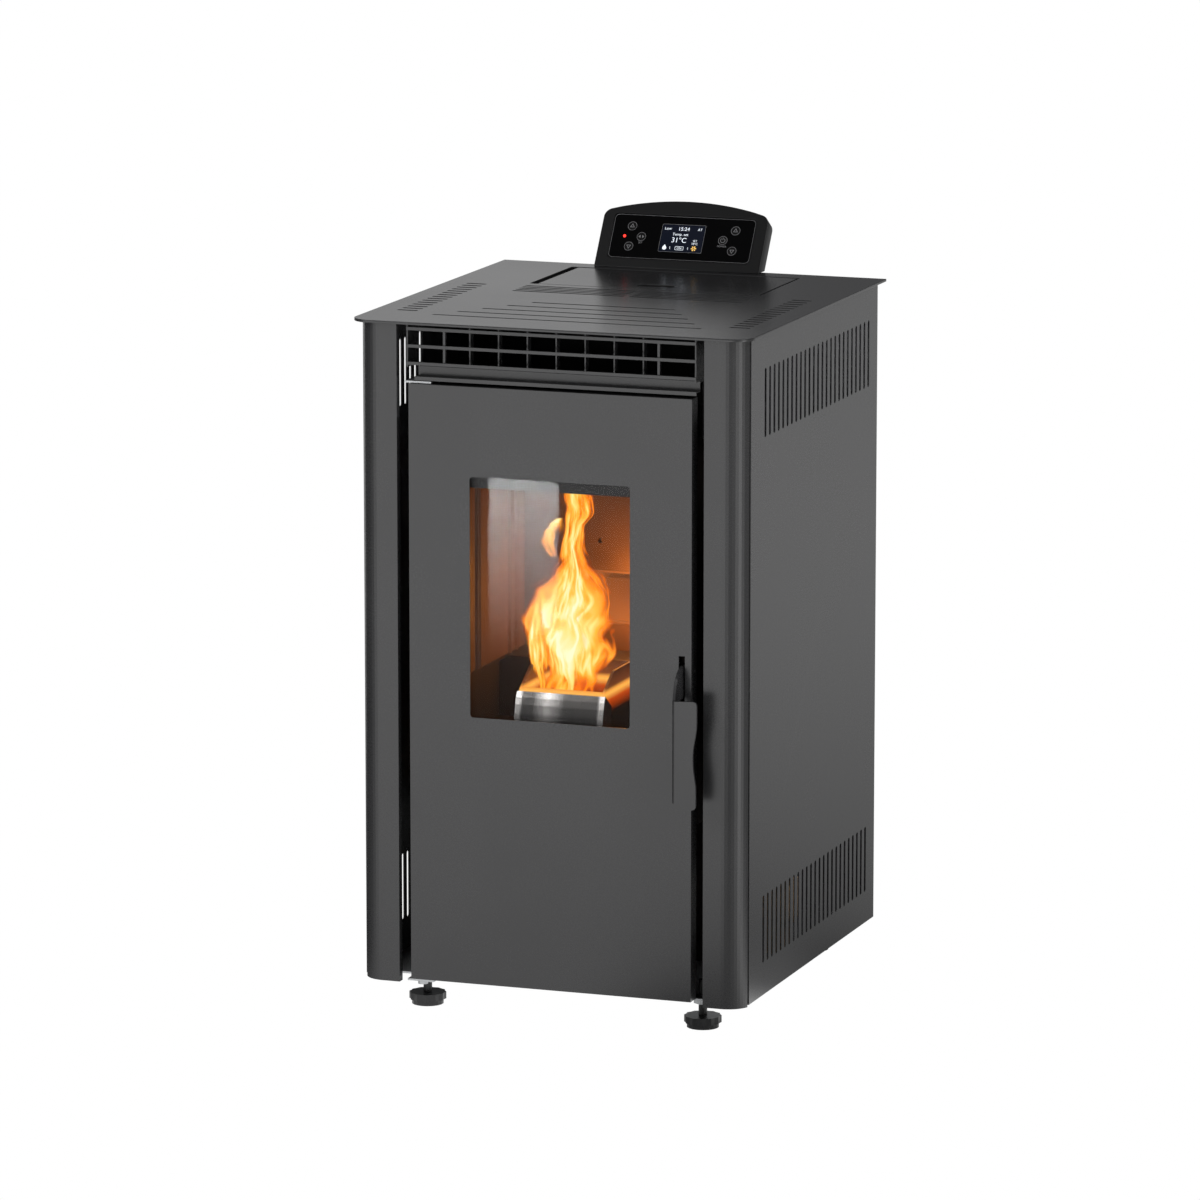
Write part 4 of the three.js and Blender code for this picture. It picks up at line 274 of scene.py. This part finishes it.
# ---------------------------------------------------------------- levelling feet
# Moulded black feet on threaded studs, which screw into the base plate from below. The
# mould leaves them faintly rough.
moulded = Surface("moulded foot", (0.01, 0.01, 0.011), 0.38)
moulded.bump(moulded.noise(900.0), 0.15, 0.0003)
dress(moulded, *[name for name in nodes if name.startswith("levelling_foot")])

# ---------------------------------------------------------------- firebox and its liners
# A welded steel box on legs behind a frame with the fire opening and the drawer slot, with
# the tray that holds the pot. Fire has darkened them, and browned the loose folded liners.
soot = wear("heated steel", (0.02, 0.013, 0.011), (0.045, 0.03, 0.025), 0.6, 0.3)
dress(soot, "firebox_body", "firebox_front", "pot_tray")
liner = wear("liner", (0.07, 0.033, 0.018), (0.13, 0.064, 0.034), 0.62, relief=0.015)
dress(liner, "firebox_back_liner", "firebox_left_liner", "firebox_right_liner")

# ---------------------------------------------------------------- ash drawer
# An open box folded from the same galvanised sheet as the base, spot-welded at its corners.
# It slides on the firebox's two rails.
dress(zinc, "ash_drawer")

# ---------------------------------------------------------------- burn pot
# A heavy cast pot that lifts out of its tray. Its rim, where the flame stands on it, carries
# painted firelight: a band there gives off the flame's orange light, and the pot is dark below.
RIM_LOW, RIM_HIGH = 0.335, 0.379
rim_firelight = wear("rim with painted firelight", (0.02, 0.012, 0.01), (0.05, 0.03, 0.02), 0.6, 0.3)
# Painted firelight: the emission band over the rim's height stands in for the flame's light falling
# on it.
rim_firelight.shine(1.0, rim_firelight.place.part(2).ramp(RIM_LOW, RIM_HIGH, False).colours(
    (0.0, (0, 0, 0)), (0.3, (0.5, 0.05, 0.0)), (0.48, (1.0, 0.48, 0.08)),
    (0.53, (0.9, 0.35, 0.05)), (0.62, (0.16, 0.04, 0.01)), (1.0, (0.03, 0.008, 0.003))))
dress(rim_firelight, "burn_pot")

# ---------------------------------------------------------------- pot shield
# Polished stainless sheet, bent to a bulge and hung in front of the pot. Its base colour carries
# painted highlights at its folded side edges and in a band left of the middle, and painted
# reflection of the dark room between them.
SHIELD_HALF = 0.0505
shield = Surface("polished shield", (0.36, 0.34, 0.325), 0.24, 1.0)
streak = shield.noise(60.0, 3.0, (12, 1, 0.4))
shield.set("Roughness", 0.22 + streak * 0.08)
shield.bump(streak, 0.01, 0.0002)
# Painted highlights and painted reflection: the base colour runs in bright and dark bands across
# the sheet.
shield_highlight_paint, shield_dark_reflection_paint = (0.62, 0.6, 0.58), (0.1, 0.096, 0.092)
shield.set("Base Color", shield.place.part(0).ramp(-SHIELD_HALF, SHIELD_HALF, False).colours(
    (0.0, shield_highlight_paint), (0.05, shield_highlight_paint), (0.08, shield_dark_reflection_paint), (0.2, shield_dark_reflection_paint), (0.36, shield_highlight_paint), (0.55, shield_dark_reflection_paint),
    (0.92, shield_dark_reflection_paint), (0.95, shield_highlight_paint), (1.0, shield_highlight_paint)))
dress(shield, "pot_shield")

# ---------------------------------------------------------------- flame
# Wood gas burning above the pot. It is drawn on five curved sheets one behind the other,
# each with its own threads of fire, which stand in the pot and rise with it.


def mm(*point):
    """Stove millimetres, y counted from the top plate's front edge, as scene metres."""
    x, y, z = point
    return Vector((x / 1000, (y - 251.409) / 1000, z / 1000))


def piece(name, mesh, finish, body, replaces=(), turn=None, smooth=40):
    """A finished mesh in stove millimetres becomes a piece that rides on a body."""
    if turn:
        mesh.transform(turn)
    mesh.transform(Matrix.Translation(mm(0, 0, 0)) @ Matrix.Scale(0.001, 4))
    if turn and turn.determinant() < 0:
        mesh.flip_normals()
    mesh.materials.clear()
    mesh.materials.append(finish.material)
    mesh.polygons.foreach_set("material_index", [0] * len(mesh.polygons))
    if smooth:
        mesh.shade_smooth()
        mesh.set_sharp_from_angle(angle=math.radians(smooth))
    made = bpy.data.objects.new(name, mesh)
    scene.collection.objects.link(made)
    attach(made, body)
    if replaces:
        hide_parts(*replaces)
    return made


def flame_sheet(name, rows, finish, y, steps=48, across=12, reach=1.3):
    """A curved sheet of flame from rows of (height, left, right) in mm; u is 1 at the outline."""
    points, faces, place = [], [], []
    low, high = rows[0][0], rows[-1][0]
    for i in range(steps + 1):
        z = low + (high - low) * i / steps
        j = max(k for k in range(len(rows) - 1) if rows[k][0] <= z + 1e-6)
        f = (z - rows[j][0]) / (rows[j + 1][0] - rows[j][0])
        f = f * f * (3 - 2 * f)
        left, right = [rows[j][k] + (rows[j + 1][k] - rows[j][k]) * f for k in (1, 2)]
        for n in range(across + 1):
            u = (2 * n / across - 1) * reach
            x = (left + right) / 2 + u * (right - left) / 2
            points.append((x, y - 9 * (1 - u * u / reach / reach), z))
            place.append((u, (z - low) / 100))
    for i in range(steps):
        for n in range(across):
            a = i * (across + 1) + n
            faces.append((a, a + 1, a + across + 2, a + across + 1))
    mesh = bpy.data.meshes.new(name)
    mesh.from_pydata(points, [], faces)
    uv = mesh.uv_layers.new(name="flame")
    for loop in mesh.loops:
        uv.data[loop.index].uv = place[loop.vertex_index]
    made = piece(name, mesh, finish, "pot", smooth=60)
    made.visible_shadow = False


def fire(name, seed, height, warmth, edge):
    """Burning gas on a sheet: threads that follow it upward, torn edges, paler where hotter."""
    made = Surface(name, (0, 0, 0), 1.0)
    unrolled = made.place.node("ShaderNodeTexCoord", output="UV")
    u, v = unrolled.part(0), unrolled.part(1)

    def flow(x, across, along, detail, twist):
        laid = u.node("ShaderNodeCombineXYZ", {0: x * across, 1: v * along, 2: seed})
        feeds = {"Vector": laid, "Scale": 1.0, "Detail": detail, "Distortion": twist}
        return u.node("ShaderNodeTexNoise", feeds)

    x = u + (flow(u, 0.6, 2.1, 1.0, 0.2) - 0.5) * 0.75
    lick = flow(x, 1.5, 1.9, 2.0, 0.45)
    thread = 1.0 - abs(flow(x, 3.2, 1.7, 2.0, 0.35) - 0.5) * 9.0
    off = x * x
    heat = 0.66 - off * 0.55 + (lick - 0.5) * 1.3 + thread.ramp(0.0, 1.0) * 0.2 - v * 0.09
    heat = heat + (v.ramp(0.0, 0.4) - 1.0) * 0.25 + warmth
    made.shine(1.08, heat.colours(
        (0.0, (0.35, 0.015, 0.0)), (0.25, (0.95, 0.10, 0.002)), (0.45, (1.0, 0.26, 0.008)),
        (0.64, (1.0, 0.50, 0.05)), (0.8, (1.0, 0.76, 0.22)), (1.0, (1.0, 0.93, 0.58))))
    fade = v.ramp(height - 0.18, height) * 0.55
    made.set("Alpha", (heat - fade - off * 0.1).ramp(edge, edge + 0.3))
    return made


# Height, left and right edge of each sheet in mm; then its depth and how it burns.
main = [(350, -46, 34), (366, -51, 38), (404, -55, 50), (436, -57, 48), (456, -49, 45),
        (474, -37, 37), (492, -20, 20), (506, -18, 13), (530, -12, 13), (546, -12, 25),
        (562, -19, 26), (580, -28, 20)]
back = [(z, left * 1.06, right * 1.06) for z, left, right in main]
front = [(350, -44, 34), (372, -47, 40), (404, -46, 44), (440, -36, 34), (470, -20, 22),
         (520, -6, 8)]
left = [(352, -50, -22), (380, -56, -26), (410, -55, -28), (440, -50, -30), (462, -46, -34)]
wisp = [(496, -33, -17), (503, -42, -16), (511, -47, -16), (520, -43, -14), (530, -35, -11),
        (538, -24, -12)]
for name, rows, y, *burning in (("flame_back", back, 104, 1.7, 2.3, -0.12, 0.16),
                                ("flame_main", main, 94, 5.2, 2.3, 0.08, 0.16),
                                ("flame_front", front, 84, 9.4, 1.7, 0.1, 0.5),
                                ("flame_left", left, 90, 3.1, 1.1, -0.05, 0.3),
                                ("flame_wisp", wisp, 94, 7.7, 0.7, -0.02, 0.3)):
    flame_sheet(name, rows, fire(name, *burning), y)

# ---------------------------------------------------------------- light of the fire
# What the burning gas throws on the liners and the pot: one warm point in the flame and
# one behind it, near the back liner.
for name, place, power, size in (("fire_light", mm(0, 96, 440), 0.24, 0.05),
                                 ("back_glow", mm(40, 180, 440), 0.75, 0.03)):
    lamp = bpy.data.lights.new(name, "POINT")
    lamp.color = (1.0, 0.38, 0.07)
    lamp.energy = power
    lamp.shadow_soft_size = size
    made = bpy.data.objects.new(name, lamp)
    made.location = place
    made.visible_camera = False
    scene.collection.objects.link(made)

# ---------------------------------------------------------------- embers
# Wood pellets burning in the pot: short pressed rods, glowing, and dark where they have
# burnt out. They lie loose on the pot's floor.


def pellet(length, radius):
    """A pressed wood pellet: a short rod, a little thinner at one end."""
    mesh = bpy.data.meshes.new("pellet")
    shape = bmesh.new()
    bmesh.ops.create_cone(shape, cap_ends=True, segments=8, radius1=radius,
                          radius2=radius * 0.94, depth=length)
    shape.to_mesh(mesh)
    shape.free()
    return mesh


def mound(x0, x1, y0, y1, z, bulge, n=12):
    """The ground that pellets lie on: a low mound between four sides, in mm."""
    mesh = bpy.data.meshes.new("mound")
    points = []
    for j in range(n + 1):
        for i in range(n + 1):
            u, v = i / n * 2 - 1, j / n * 2 - 1
            points.append(((x0 + x1) / 2 + u * (x1 - x0) / 2, (y0 + y1) / 2 + v * (y1 - y0) / 2,
                           z + bulge * (1 - u * u) * (1 - v * v)))
    faces = [(a, a + 1, a + n + 2, a + n + 1)
             for a in (j * (n + 1) + i for j in range(n) for i in range(n))]
    mesh.from_pydata(points, [], faces)
    return mesh


def strewn(name, ground, grain, finish, count, seed, body):
    """Copies of one grain strewn over a mesh by Geometry Nodes, made real and joined."""
    group = bpy.data.node_groups.new(name, "GeometryNodeTree")
    inputs = {"Geometry": "Geometry", "Density": "Float", "Grain": "Object", "Seed": "Int"}
    keys = {key: group.interface.new_socket(key, in_out="INPUT", socket_type="NodeSocket" + kind)
            .identifier for key, kind in inputs.items()}
    group.interface.new_socket("Geometry", in_out="OUTPUT", socket_type="NodeSocketGeometry")
    start = Value(group)
    given = {key: start.node("NodeGroupInput", output=key) for key in inputs}
    points = start.node("GeometryNodeDistributePointsOnFaces", {
        "Mesh": given["Geometry"], "Density": given["Density"], "Seed": given["Seed"]})
    tilt = start.node("FunctionNodeRandomValue", {1: (math.tau,) * 3, "Seed": given["Seed"]},
                      data_type="FLOAT_VECTOR")
    one = start.node("GeometryNodeObjectInfo", {"Object": given["Grain"]}, "Geometry")
    copies = start.node("GeometryNodeInstanceOnPoints", {
        "Points": points, "Instance": one, "Rotation": tilt})
    real = start.node("GeometryNodeRealizeInstances", {0: copies})
    painted = start.node("GeometryNodeSetMaterial", {
        "Geometry": real, "Material": finish.material})
    start.node("NodeGroupOutput", {0: painted})
    base = bpy.data.objects.new(name + "_ground", ground)
    model = bpy.data.objects.new(name + "_grain", grain)
    for item in (base, model):
        scene.collection.objects.link(item)
    modifier = base.modifiers.new("strewn", "NODES")
    modifier.node_group = group
    modifier[keys["Grain"]] = model
    modifier[keys["Density"]] = float(count)
    modifier[keys["Seed"]] = seed
    bpy.context.view_layer.update()
    ready = base.evaluated_get(bpy.context.evaluated_depsgraph_get())
    mesh = bpy.data.meshes.new_from_object(ready)
    base.modifiers.clear()
    for item in (base, model):
        bpy.data.objects.remove(item)
    piece(name, mesh, finish, body)


ember = wear("ember", (0.02, 0.015, 0.012), (0.06, 0.04, 0.03), 0.8)
ember.shine(2.0, ember.noise(90.0, 3.0).colours(
    (0.35, (0.02, 0.0, 0.0)), (0.5, (0.9, 0.12, 0.01)), (0.65, (1.0, 0.5, 0.1))))
strewn("embers", mound(-36, 36, 60, 124, 330, 12), pellet(12, 3), ember, 0.05, 4, "pot")

# ---------------------------------------------------------------- drop chute
# A bent steel chute, welded through the back of the firebox, that lets the pellets fall
# into the pot. It carries painted firelight: it gives off a dull orange glow in place of the fire's
# light on it.
chute = wear("chute with painted firelight", (0.06, 0.03, 0.02), (0.1, 0.05, 0.03), 0.6)
# Painted firelight: this emission stands in for the fire's light falling on the chute.
chute.shine(0.8, chute.noise(12.0).colours((0.3, (0.16, 0.045, 0.012)), (0.7, (0.26, 0.08, 0.02))))
dress(chute, "drop_chute")

# ---------------------------------------------------------------- air and smoke ways
# Fan housings and the air inlet are folded from galvanised sheet and screwed to the base;
# the room fan's drum, the warm-air duct and the flue collar are painted black.
dress(zinc, "smoke_fan_housing", "smoke_fan_impeller", "air_inlet_pipe", "room_fan_housing")
black_steel = wear("black steel", (0.018, 0.018, 0.019), (0.03, 0.03, 0.031), 0.55, 0.5)
dress(black_steel, "room_fan_rotor", "warm_air_duct", "flue_outlet")

# ---------------------------------------------------------------- hopper and pellet feed
# The hopper and the feed tube are galvanised sheet with folded, riveted seams; the screw that
# turns in the tube and its gear motor are black steel. Pale wood pellets fill the hopper.
dress(zinc, "hopper", "feed_tube")
dress(black_steel, "feed_screw", "feed_gear_motor")
wood = wear("pellet wood", (0.28, 0.17, 0.09), (0.45, 0.3, 0.17), 0.75, grain=500.0, relief=0.3)
strewn("pellets", mound(-126, 126, 326, 440, 640, 14), pellet(16, 3), wood, 0.03, 9, "stove")

# ---------------------------------------------------------------- mains inlet
# A moulded black socket with its own rocker switch, pushed into a hole of the rear panel.
# The plastic is the control panel's, with the same fine mould grain.
plastic = Surface("black plastic", (0.004, 0.004, 0.0045), 0.4)
plastic.set("Specular IOR Level", 0.3)
plastic.bump(plastic.noise(1800.0, 2.0), 0.12, 0.0002)
dress(plastic, "mains_inlet", "mains_rocker")

# ---------------------------------------------------------------- side panels
# Sheet steel with two rows of punched, round-ended vents, folded inwards at front and back
# and screwed to the base. They are sprayed with satin enamel, which keeps a faint orange peel.


def arc_points(u, v, r, start, end, steps):
    """Points of an arc; angles in degrees."""
    turns = [math.radians(start + (end - start) * i / steps) for i in range(steps + 1)]
    return [(u + r * math.cos(a), v + r * math.sin(a)) for a in turns]


def rounded(u0, u1, v0, v1, r, steps=5):
    """The outline of a rectangle with round corners."""
    corners = [(u1 - r, v0 + r, -90), (u1 - r, v1 - r, 0), (u0 + r, v1 - r, 90),
               (u0 + r, v0 + r, 180)]
    return [p for u, v, a in corners for p in arc_points(u, v, r, a, a + 90, steps)]


def punched(name, outlines, low, high, bevel=0.25):
    """A flat sheet between two heights: the outer outline is filled, each inner one a hole."""
    curve = bpy.data.curves.new(name, "CURVE")
    curve.dimensions = "2D"
    curve.fill_mode = "BOTH"
    curve.extrude = (high - low) / 2 - bevel
    curve.bevel_depth = bevel
    curve.bevel_resolution = 2
    curve.offset = -bevel
    for outline in outlines:
        spline = curve.splines.new("POLY")
        spline.points.add(len(outline) - 1)
        for point, (u, v) in zip(spline.points, outline):
            point.co = (u, v, 0, 1)
        spline.use_cyclic_u = True
    holder = bpy.data.objects.new(name, curve)
    scene.collection.objects.link(holder)
    mesh = bpy.data.meshes.new_from_object(holder)
    bpy.data.objects.remove(holder)
    mesh.transform(Matrix.Translation((0, 0, (low + high) / 2)))
    return mesh


def enamelled(name, rough, spread):
    """Dark grey enamel whose tone and roughness change slightly over the piece."""
    made = Surface(name, (0.03, 0.03, 0.031), rough)
    tone = made.noise(spread, 3.0)
    made.tint(tone.ramp(0.3, 0.7), (0.027, 0.027, 0.028), (0.033, 0.033, 0.034))
    return made, tone


enamel, tone = enamelled("enamel", 0.28, 6.0)
peel = enamel.noise(1400.0, 2.0)
enamel.set("Roughness", 0.27 + (tone - 0.5) * 0.05 + (peel - 0.5) * 0.05)
enamel.bump(peel, 0.06, 0.0002)

SIDE_FRONT, SIDE_BACK, SIDE_FOOT, SIDE_HEAD = 27.3, 465.3, 34.7, 752
SIDE_SHEET, FOLD_FROM, FOLD_TO = 1.2, 208.9, 218.3
VENT_LENGTH, VENT_HALF, VENT_PITCH = 74, 3, 14.9
# Standing a flat sheet up: its u and v become the stove's y and z.
face_side = Matrix(((0, 0, 1, 0), (1, 0, 0, 0), (0, 1, 0, 0), (0, 0, 0, 1)))
for side, name in ((-1, "left_side_panel"), (1, "right_side_panel")):
    cuts = [rounded(SIDE_FRONT, SIDE_BACK, SIDE_FOOT, SIDE_HEAD, 0.5, 1)]
    for y in (75 + VENT_PITCH * i for i in range(25)):
        for z in (70.4, 641):
            cuts.append(rounded(y - VENT_HALF, y + VENT_HALF, z, z + VENT_LENGTH, 2.95, 4))
    sheet = punched(name, cuts, *sorted((side * 217.7, side * 218.9)))
    folded = bmesh.new()
    folded.from_mesh(sheet)
    size = (SIDE_SHEET, SIDE_HEAD - SIDE_FOOT, FOLD_TO - FOLD_FROM, 1)
    for y in (SIDE_FRONT + SIDE_SHEET / 2, SIDE_BACK - SIDE_SHEET / 2):
        middle = (y, (SIDE_FOOT + SIDE_HEAD) / 2, side * (FOLD_FROM + FOLD_TO) / 2)
        bmesh.ops.create_cube(folded, size=1,
                              matrix=Matrix.Translation(middle) @ Matrix.Diagonal(size))
    folded.to_mesh(sheet)
    folded.free()
    piece(name.replace("panel", "sheet"), sheet, enamel, "stove", (name,), face_side)

# ---------------------------------------------------------------- columns, grille and ledge
# The rounded front columns and the ledge over the door are rolled and folded from steel sheet;
# the grille's bars are welded to its posts. All carry the same enamel as the sides.
dress(enamel, "left_front_column", "right_front_column", "warm_air_grille", "front_ledge")

# ---------------------------------------------------------------- top plate
# One thick steel plate with rounded front corners and three families of laser-cut slots,
# laid over the casing. Its enamel is glossier, so the control panel is mirrored in it.


def shade_hole_walls(made, finish, half_x, half_y):
    """Paints shade into a sheet's holes: their walls, inside its outer edge, get a second, dark
    finish.
    """
    made.data.materials.append(finish.material)
    for wall in made.data.polygons:
        upright = abs(wall.normal.z) < 0.6
        if upright and abs(wall.center.x) < half_x and abs(wall.center.y) < half_y:
            wall.material_index = 1


gloss, haze = enamelled("top enamel", 0.2, 5.0)
gloss.set("Roughness", 0.25 + (haze - 0.5) * 0.06)
gloss.bump(gloss.noise(1200.0, 2.0), 0.02, 0.0001)

TOP_FACE = 755.3
cuts = [[(225, 477), (-225, 477), *arc_points(-203, 22, 22, 180, 270, 10),
         *arc_points(203, 22, 22, 270, 360, 10)]]
for y in (80.3 + 14.95 * i for i in range(15)):  # short cross slots near both sides
    for x in (-188, 188):
        cuts.append(rounded(x - 11.5, x + 11.5, y - 2.25, y + 2.25, 2.2, 3))
for i in range(5):
    y = 60.8 + 29.5 * i  # long slots, each shorter than the one before it
    half = 152 - 17.5 * i
    cuts.append(rounded(-half, half, y - 1.8, y + 1.8, 1.7, 3))
    y = 254.5 + 10.1 * i  # the two close groups in front of the lid
    for x in (-67.75, 67.75):
        cuts.append(rounded(x - 64.5, x + 64.5, y - 2, y + 2, 1.9, 3))
cuts.append(rounded(-134, 134, 312, 449.5, 2, 3))  # the hopper's mouth
plate = punched("top plate", cuts, TOP_FACE - 3, TOP_FACE, 0.5)
top_sheet = piece("top_sheet", plate, gloss, "stove", ("top_plate",))
# Painted shade: the slot walls take the black steel finish so that the slots look dark inside.
shade_hole_walls(top_sheet, black_steel, 0.215, 0.218)

# ---------------------------------------------------------------- hopper lid
# A flat steel lid with a round-ended finger slot, hinged on two pins at its back edge. It
# lies in the top plate's opening and has the same glossy enamel.
cuts = [rounded(-125, 131.5, 313.5, 445, 1.5, 3), rounded(-18.75, 25.25, 333.5, 349.5, 7.9, 8)]
lid = punched("hopper lid", cuts, TOP_FACE - 2.5, TOP_FACE, 0.4)
piece("lid_sheet", lid, gloss, "lid", ("hopper_lid",))

# ---------------------------------------------------------------- control panel's housing
# Two moulded plastic halves clipped together, a frame round the recessed face and a plain
# back. It leans back behind the lid and is screwed to the top plate.
lean = Matrix.Translation((-113.1, 462.4, 755.6)) @ Matrix.Rotation(math.radians(56.9), 4, "X")
edge = [(0, 0), (193.5, 0), *arc_points(182.5, 61.5, 11, 0, 74, 9),
        *arc_points(96.75, -244.2, 328.7, 74.8, 105.2, 24)[1:-1],
        *arc_points(11, 61.5, 11, 106, 180, 9)]
recess = rounded(13, 180.5, 11.5, 66.5, 6, 6)
shell = bmesh.new()
shell.from_mesh(punched("rim", [edge, recess], -2.6, -0.01, 0.8))
shell.from_mesh(punched("back", [edge], -20, -2.6, 0.6))
bmesh.ops.transform(shell, matrix=lean, verts=shell.verts)
cutting = [*shell.verts, *shell.edges, *shell.faces]
bmesh.ops.bisect_plane(shell, geom=cutting, plane_co=(0, 0, 755.7), plane_no=(0, 0, 1),
                       clear_inner=True)
housing = bpy.data.meshes.new("housing")
shell.to_mesh(housing)
shell.free()
piece("panel_shell", housing, plastic, "stove", ("control_panel_housing",))

# ---------------------------------------------------------------- face, display and red lamp
# A glossy plastic film stuck into the housing's recess, with the display and the lamp behind
# windows in it. The display is faintly lit from behind.
face = Surface("printed face", (0.001, 0.001, 0.0012), 0.16)
face.set("Specular IOR Level", 0.14)
face.set("Roughness", 0.14 + face.noise(20.0) * 0.06)
dress(face, "control_panel_overlay")
screen = Surface("display", (0.002, 0.002, 0.004), 0.12)
screen.set("Specular IOR Level", 0.14)
screen.shine(0.022, screen.noise(8.0).colours((0.3, (0.2, 0.3, 0.6)), (0.7, (0.35, 0.4, 0.7))))
dress(screen, "lcd_display")
lamp_red = Surface("red lamp", (0.5, 0.01, 0.01), 0.2)
lamp_red.shine(3.0, (1, 0.03, 0.02, 1))
dress(lamp_red, "status_led")

# ---------------------------------------------------------------- keys
# Six moulded rubber keys that press through the face. White print on each gives a ring and
# a sign: an arrow on the outer keys, a double arrow or a switch sign on the inner ones.


def circle(u, v, r, steps=24):
    return arc_points(u, v, r, 0, 360 - 360 / steps, steps - 1)


def arrow(u, v, r, up):
    """A triangle's line: its outline with a smaller one inside it."""
    turns = [math.radians(up * 90 + 120 * i) for i in range(3)]
    return [[(u + k * r * math.cos(a), v + k * r * math.sin(a)) for a in turns] for k in (1, 0.62)]


button = Surface("button", (0.003, 0.003, 0.003), 0.35)
button.set("Specular IOR Level", 0.2)
button.bump(button.noise(1500.0), 0.1, 0.0002)
ink = Surface("white print", (0.3, 0.3, 0.31), 0.5)
ink.set("Roughness", 0.45 + ink.noise(500.0) * 0.1)
UP, DOWN, SIDEWAYS, SWITCH = 1, -1, 0, 2
keys = {"key_left_up": (35.95, 51.5, UP), "key_left_menu": (48.75, 39, SIDEWAYS),
        "key_left_down": (35.95, 26.5, DOWN), "key_right_up": (157.55, 51.5, UP),
        "key_power": (144.75, 39, SWITCH), "key_right_down": (157.55, 26.5, DOWN)}
for name, (u, v, sign) in keys.items():
    marks = [circle(u, v, 5.3), circle(u, v, 4.9)]
    if sign == SIDEWAYS:
        marks += [[(u + k * 3.4, v), (u + k, v - k * 1.9), (u + k, v + k * 1.9)] for k in (-1, 1)]
    elif sign == SWITCH:
        marks += [arc_points(u, v, 2.9, 125, 415, 16) + arc_points(u, v, 2.3, 415, 125, 16),
                  rounded(u - 0.3, u + 0.3, v + 0.6, v + 3.6, 0.1, 1)]
    else:
        marks += arrow(u, v, 3.2, sign)
    signs = punched(name + "_sign", marks, -0.6, -0.56, 0.005)
    piece(name + "_sign", signs, ink, name, turn=lean, smooth=0)
    dress(button, name)

# ---------------------------------------------------------------- readout of the display
# The display's lit segments: clock, set temperature and levels in white, with a drop, a
# frame and, in amber, a fan. In the real one a backlight shines through liquid crystal.


def words(text, size, u, v):
    """Letters as a flat mesh centred on (u, v)."""
    font = bpy.data.curves.new("words", "FONT")
    font.body = text
    font.size = size
    font.align_x, font.align_y = "CENTER", "CENTER"
    font.extrude = 0.01
    holder = bpy.data.objects.new("words", font)
    scene.collection.objects.link(holder)
    mesh = bpy.data.meshes.new_from_object(holder)
    bpy.data.objects.remove(holder)
    mesh.transform(Matrix.Translation((u, v, -0.76)))
    return mesh


def printed(name, meshes, finish):
    """Flat marks joined into one piece on the panel's face."""
    joined = bmesh.new()
    for mesh in meshes:
        joined.from_mesh(mesh)
    mesh = bpy.data.meshes.new(name)
    joined.to_mesh(mesh)
    joined.free()
    piece(name, mesh, finish, "stove", turn=lean, smooth=0)


segments = Surface("lit segments", (0.8, 0.85, 0.9), 0.5)
segments.shine(0.75, (0.85, 0.92, 1, 1))
texts = (("15:24", 6.2, 97, 50.5), ("Low", 4.6, 78.5, 50.5), ("AT", 4.2, 116, 50.5),
         ("Temp. set", 4.6, 94, 43.8), ("31°C", 8.6, 93.5, 36.5), ("SET", 3.2, 112.5, 36.5),
         ("18°C", 3.6, 112.5, 33), ("ON", 3.6, 95.5, 26.8), ("1", 4.6, 84.5, 26.9),
         ("1", 4.6, 105.5, 26.9))
level = [rounded(90.5, 100.5, 24.6, 29.2, 0.8, 2), rounded(90.9, 100.1, 25, 28.8, 0.6, 2)]
drop = [[(78, 31), *arc_points(78, 26.8, 2.4, 20, -200, 10)]]
printed("display_readout", [words(*text) for text in texts]
        + [punched("sign", marks, -0.77, -0.75, 0.004) for marks in (level, drop)], segments)

amber = Surface("amber segments", (0.8, 0.5, 0.1), 0.5)
amber.shine(1.0, (1, 0.6, 0.15, 1))
blade = ((0.7, -20), (3.0, -8), (3.1, 18), (0.7, 20))
blades = [[arc_points(112.5, 27.2, r, 60 * i + a, 0, 1)[0] for r, a in blade] for i in range(6)]
printed("display_fan_sign", [punched("fan_sign", blades, -0.77, -0.75, 0.004)], amber)

# ---------------------------------------------------------------- print on the face
# White lines screen-printed on the film: one round the whole face, one round the display,
# and a word under each of the two inner keys.
lines = [rounded(13.9, 179.6, 12.4, 65.6, 5, 5), rounded(14.2, 179.3, 12.7, 65.3, 4.8, 5),
         rounded(71.2, 122.3, 21.9, 56.1, 1, 2), rounded(71.5, 122.0, 22.2, 55.8, 0.8, 2)]
printed("face_print", [punched("border", lines, -0.79, -0.76, 0.005),
                       words("SET", 3.2, 48.75, 31.6), words("POWER", 3.2, 144.75, 31.6)], ink)

# ---------------------------------------------------------------- door and handle
# A steel skin folded round its edges, with a black frame welded behind it and the lever
# handle on a zinc-plated pin. It hangs on two pins and has the casing's enamel.
dress(enamel, "door_panel", "door_handle")
dress(black_steel, "door_frame", "glass_retainer")
dress(zinc, "handle_pin", "upper_hinge", "lower_hinge_pin")

# ---------------------------------------------------------------- window and gasket
# Clear glass ceramic, clamped behind the door's opening by its retainer, which mirrors a
# little more the flatter it is seen. Glass-fibre rope lies round it in a groove.
pane = Surface("pane", (0.02, 0.02, 0.02), 0.02)
node = pane.place.node
feed(pane.end, node("ShaderNodeMixShader", {
    0: node("ShaderNodeFresnel", {"IOR": 1.12}),
    1: node("ShaderNodeBsdfTransparent"),
    2: node("ShaderNodeBsdfGlossy", {"Roughness": 0.0})}))
dress(pane, "door_glass")
braid = Surface("rope", (0.5, 0.47, 0.42), 0.9)
braid.bump(braid.noise(700.0, 2.0, (1, 1, 3)), 0.5, 0.001)
dress(braid, "door_gasket")
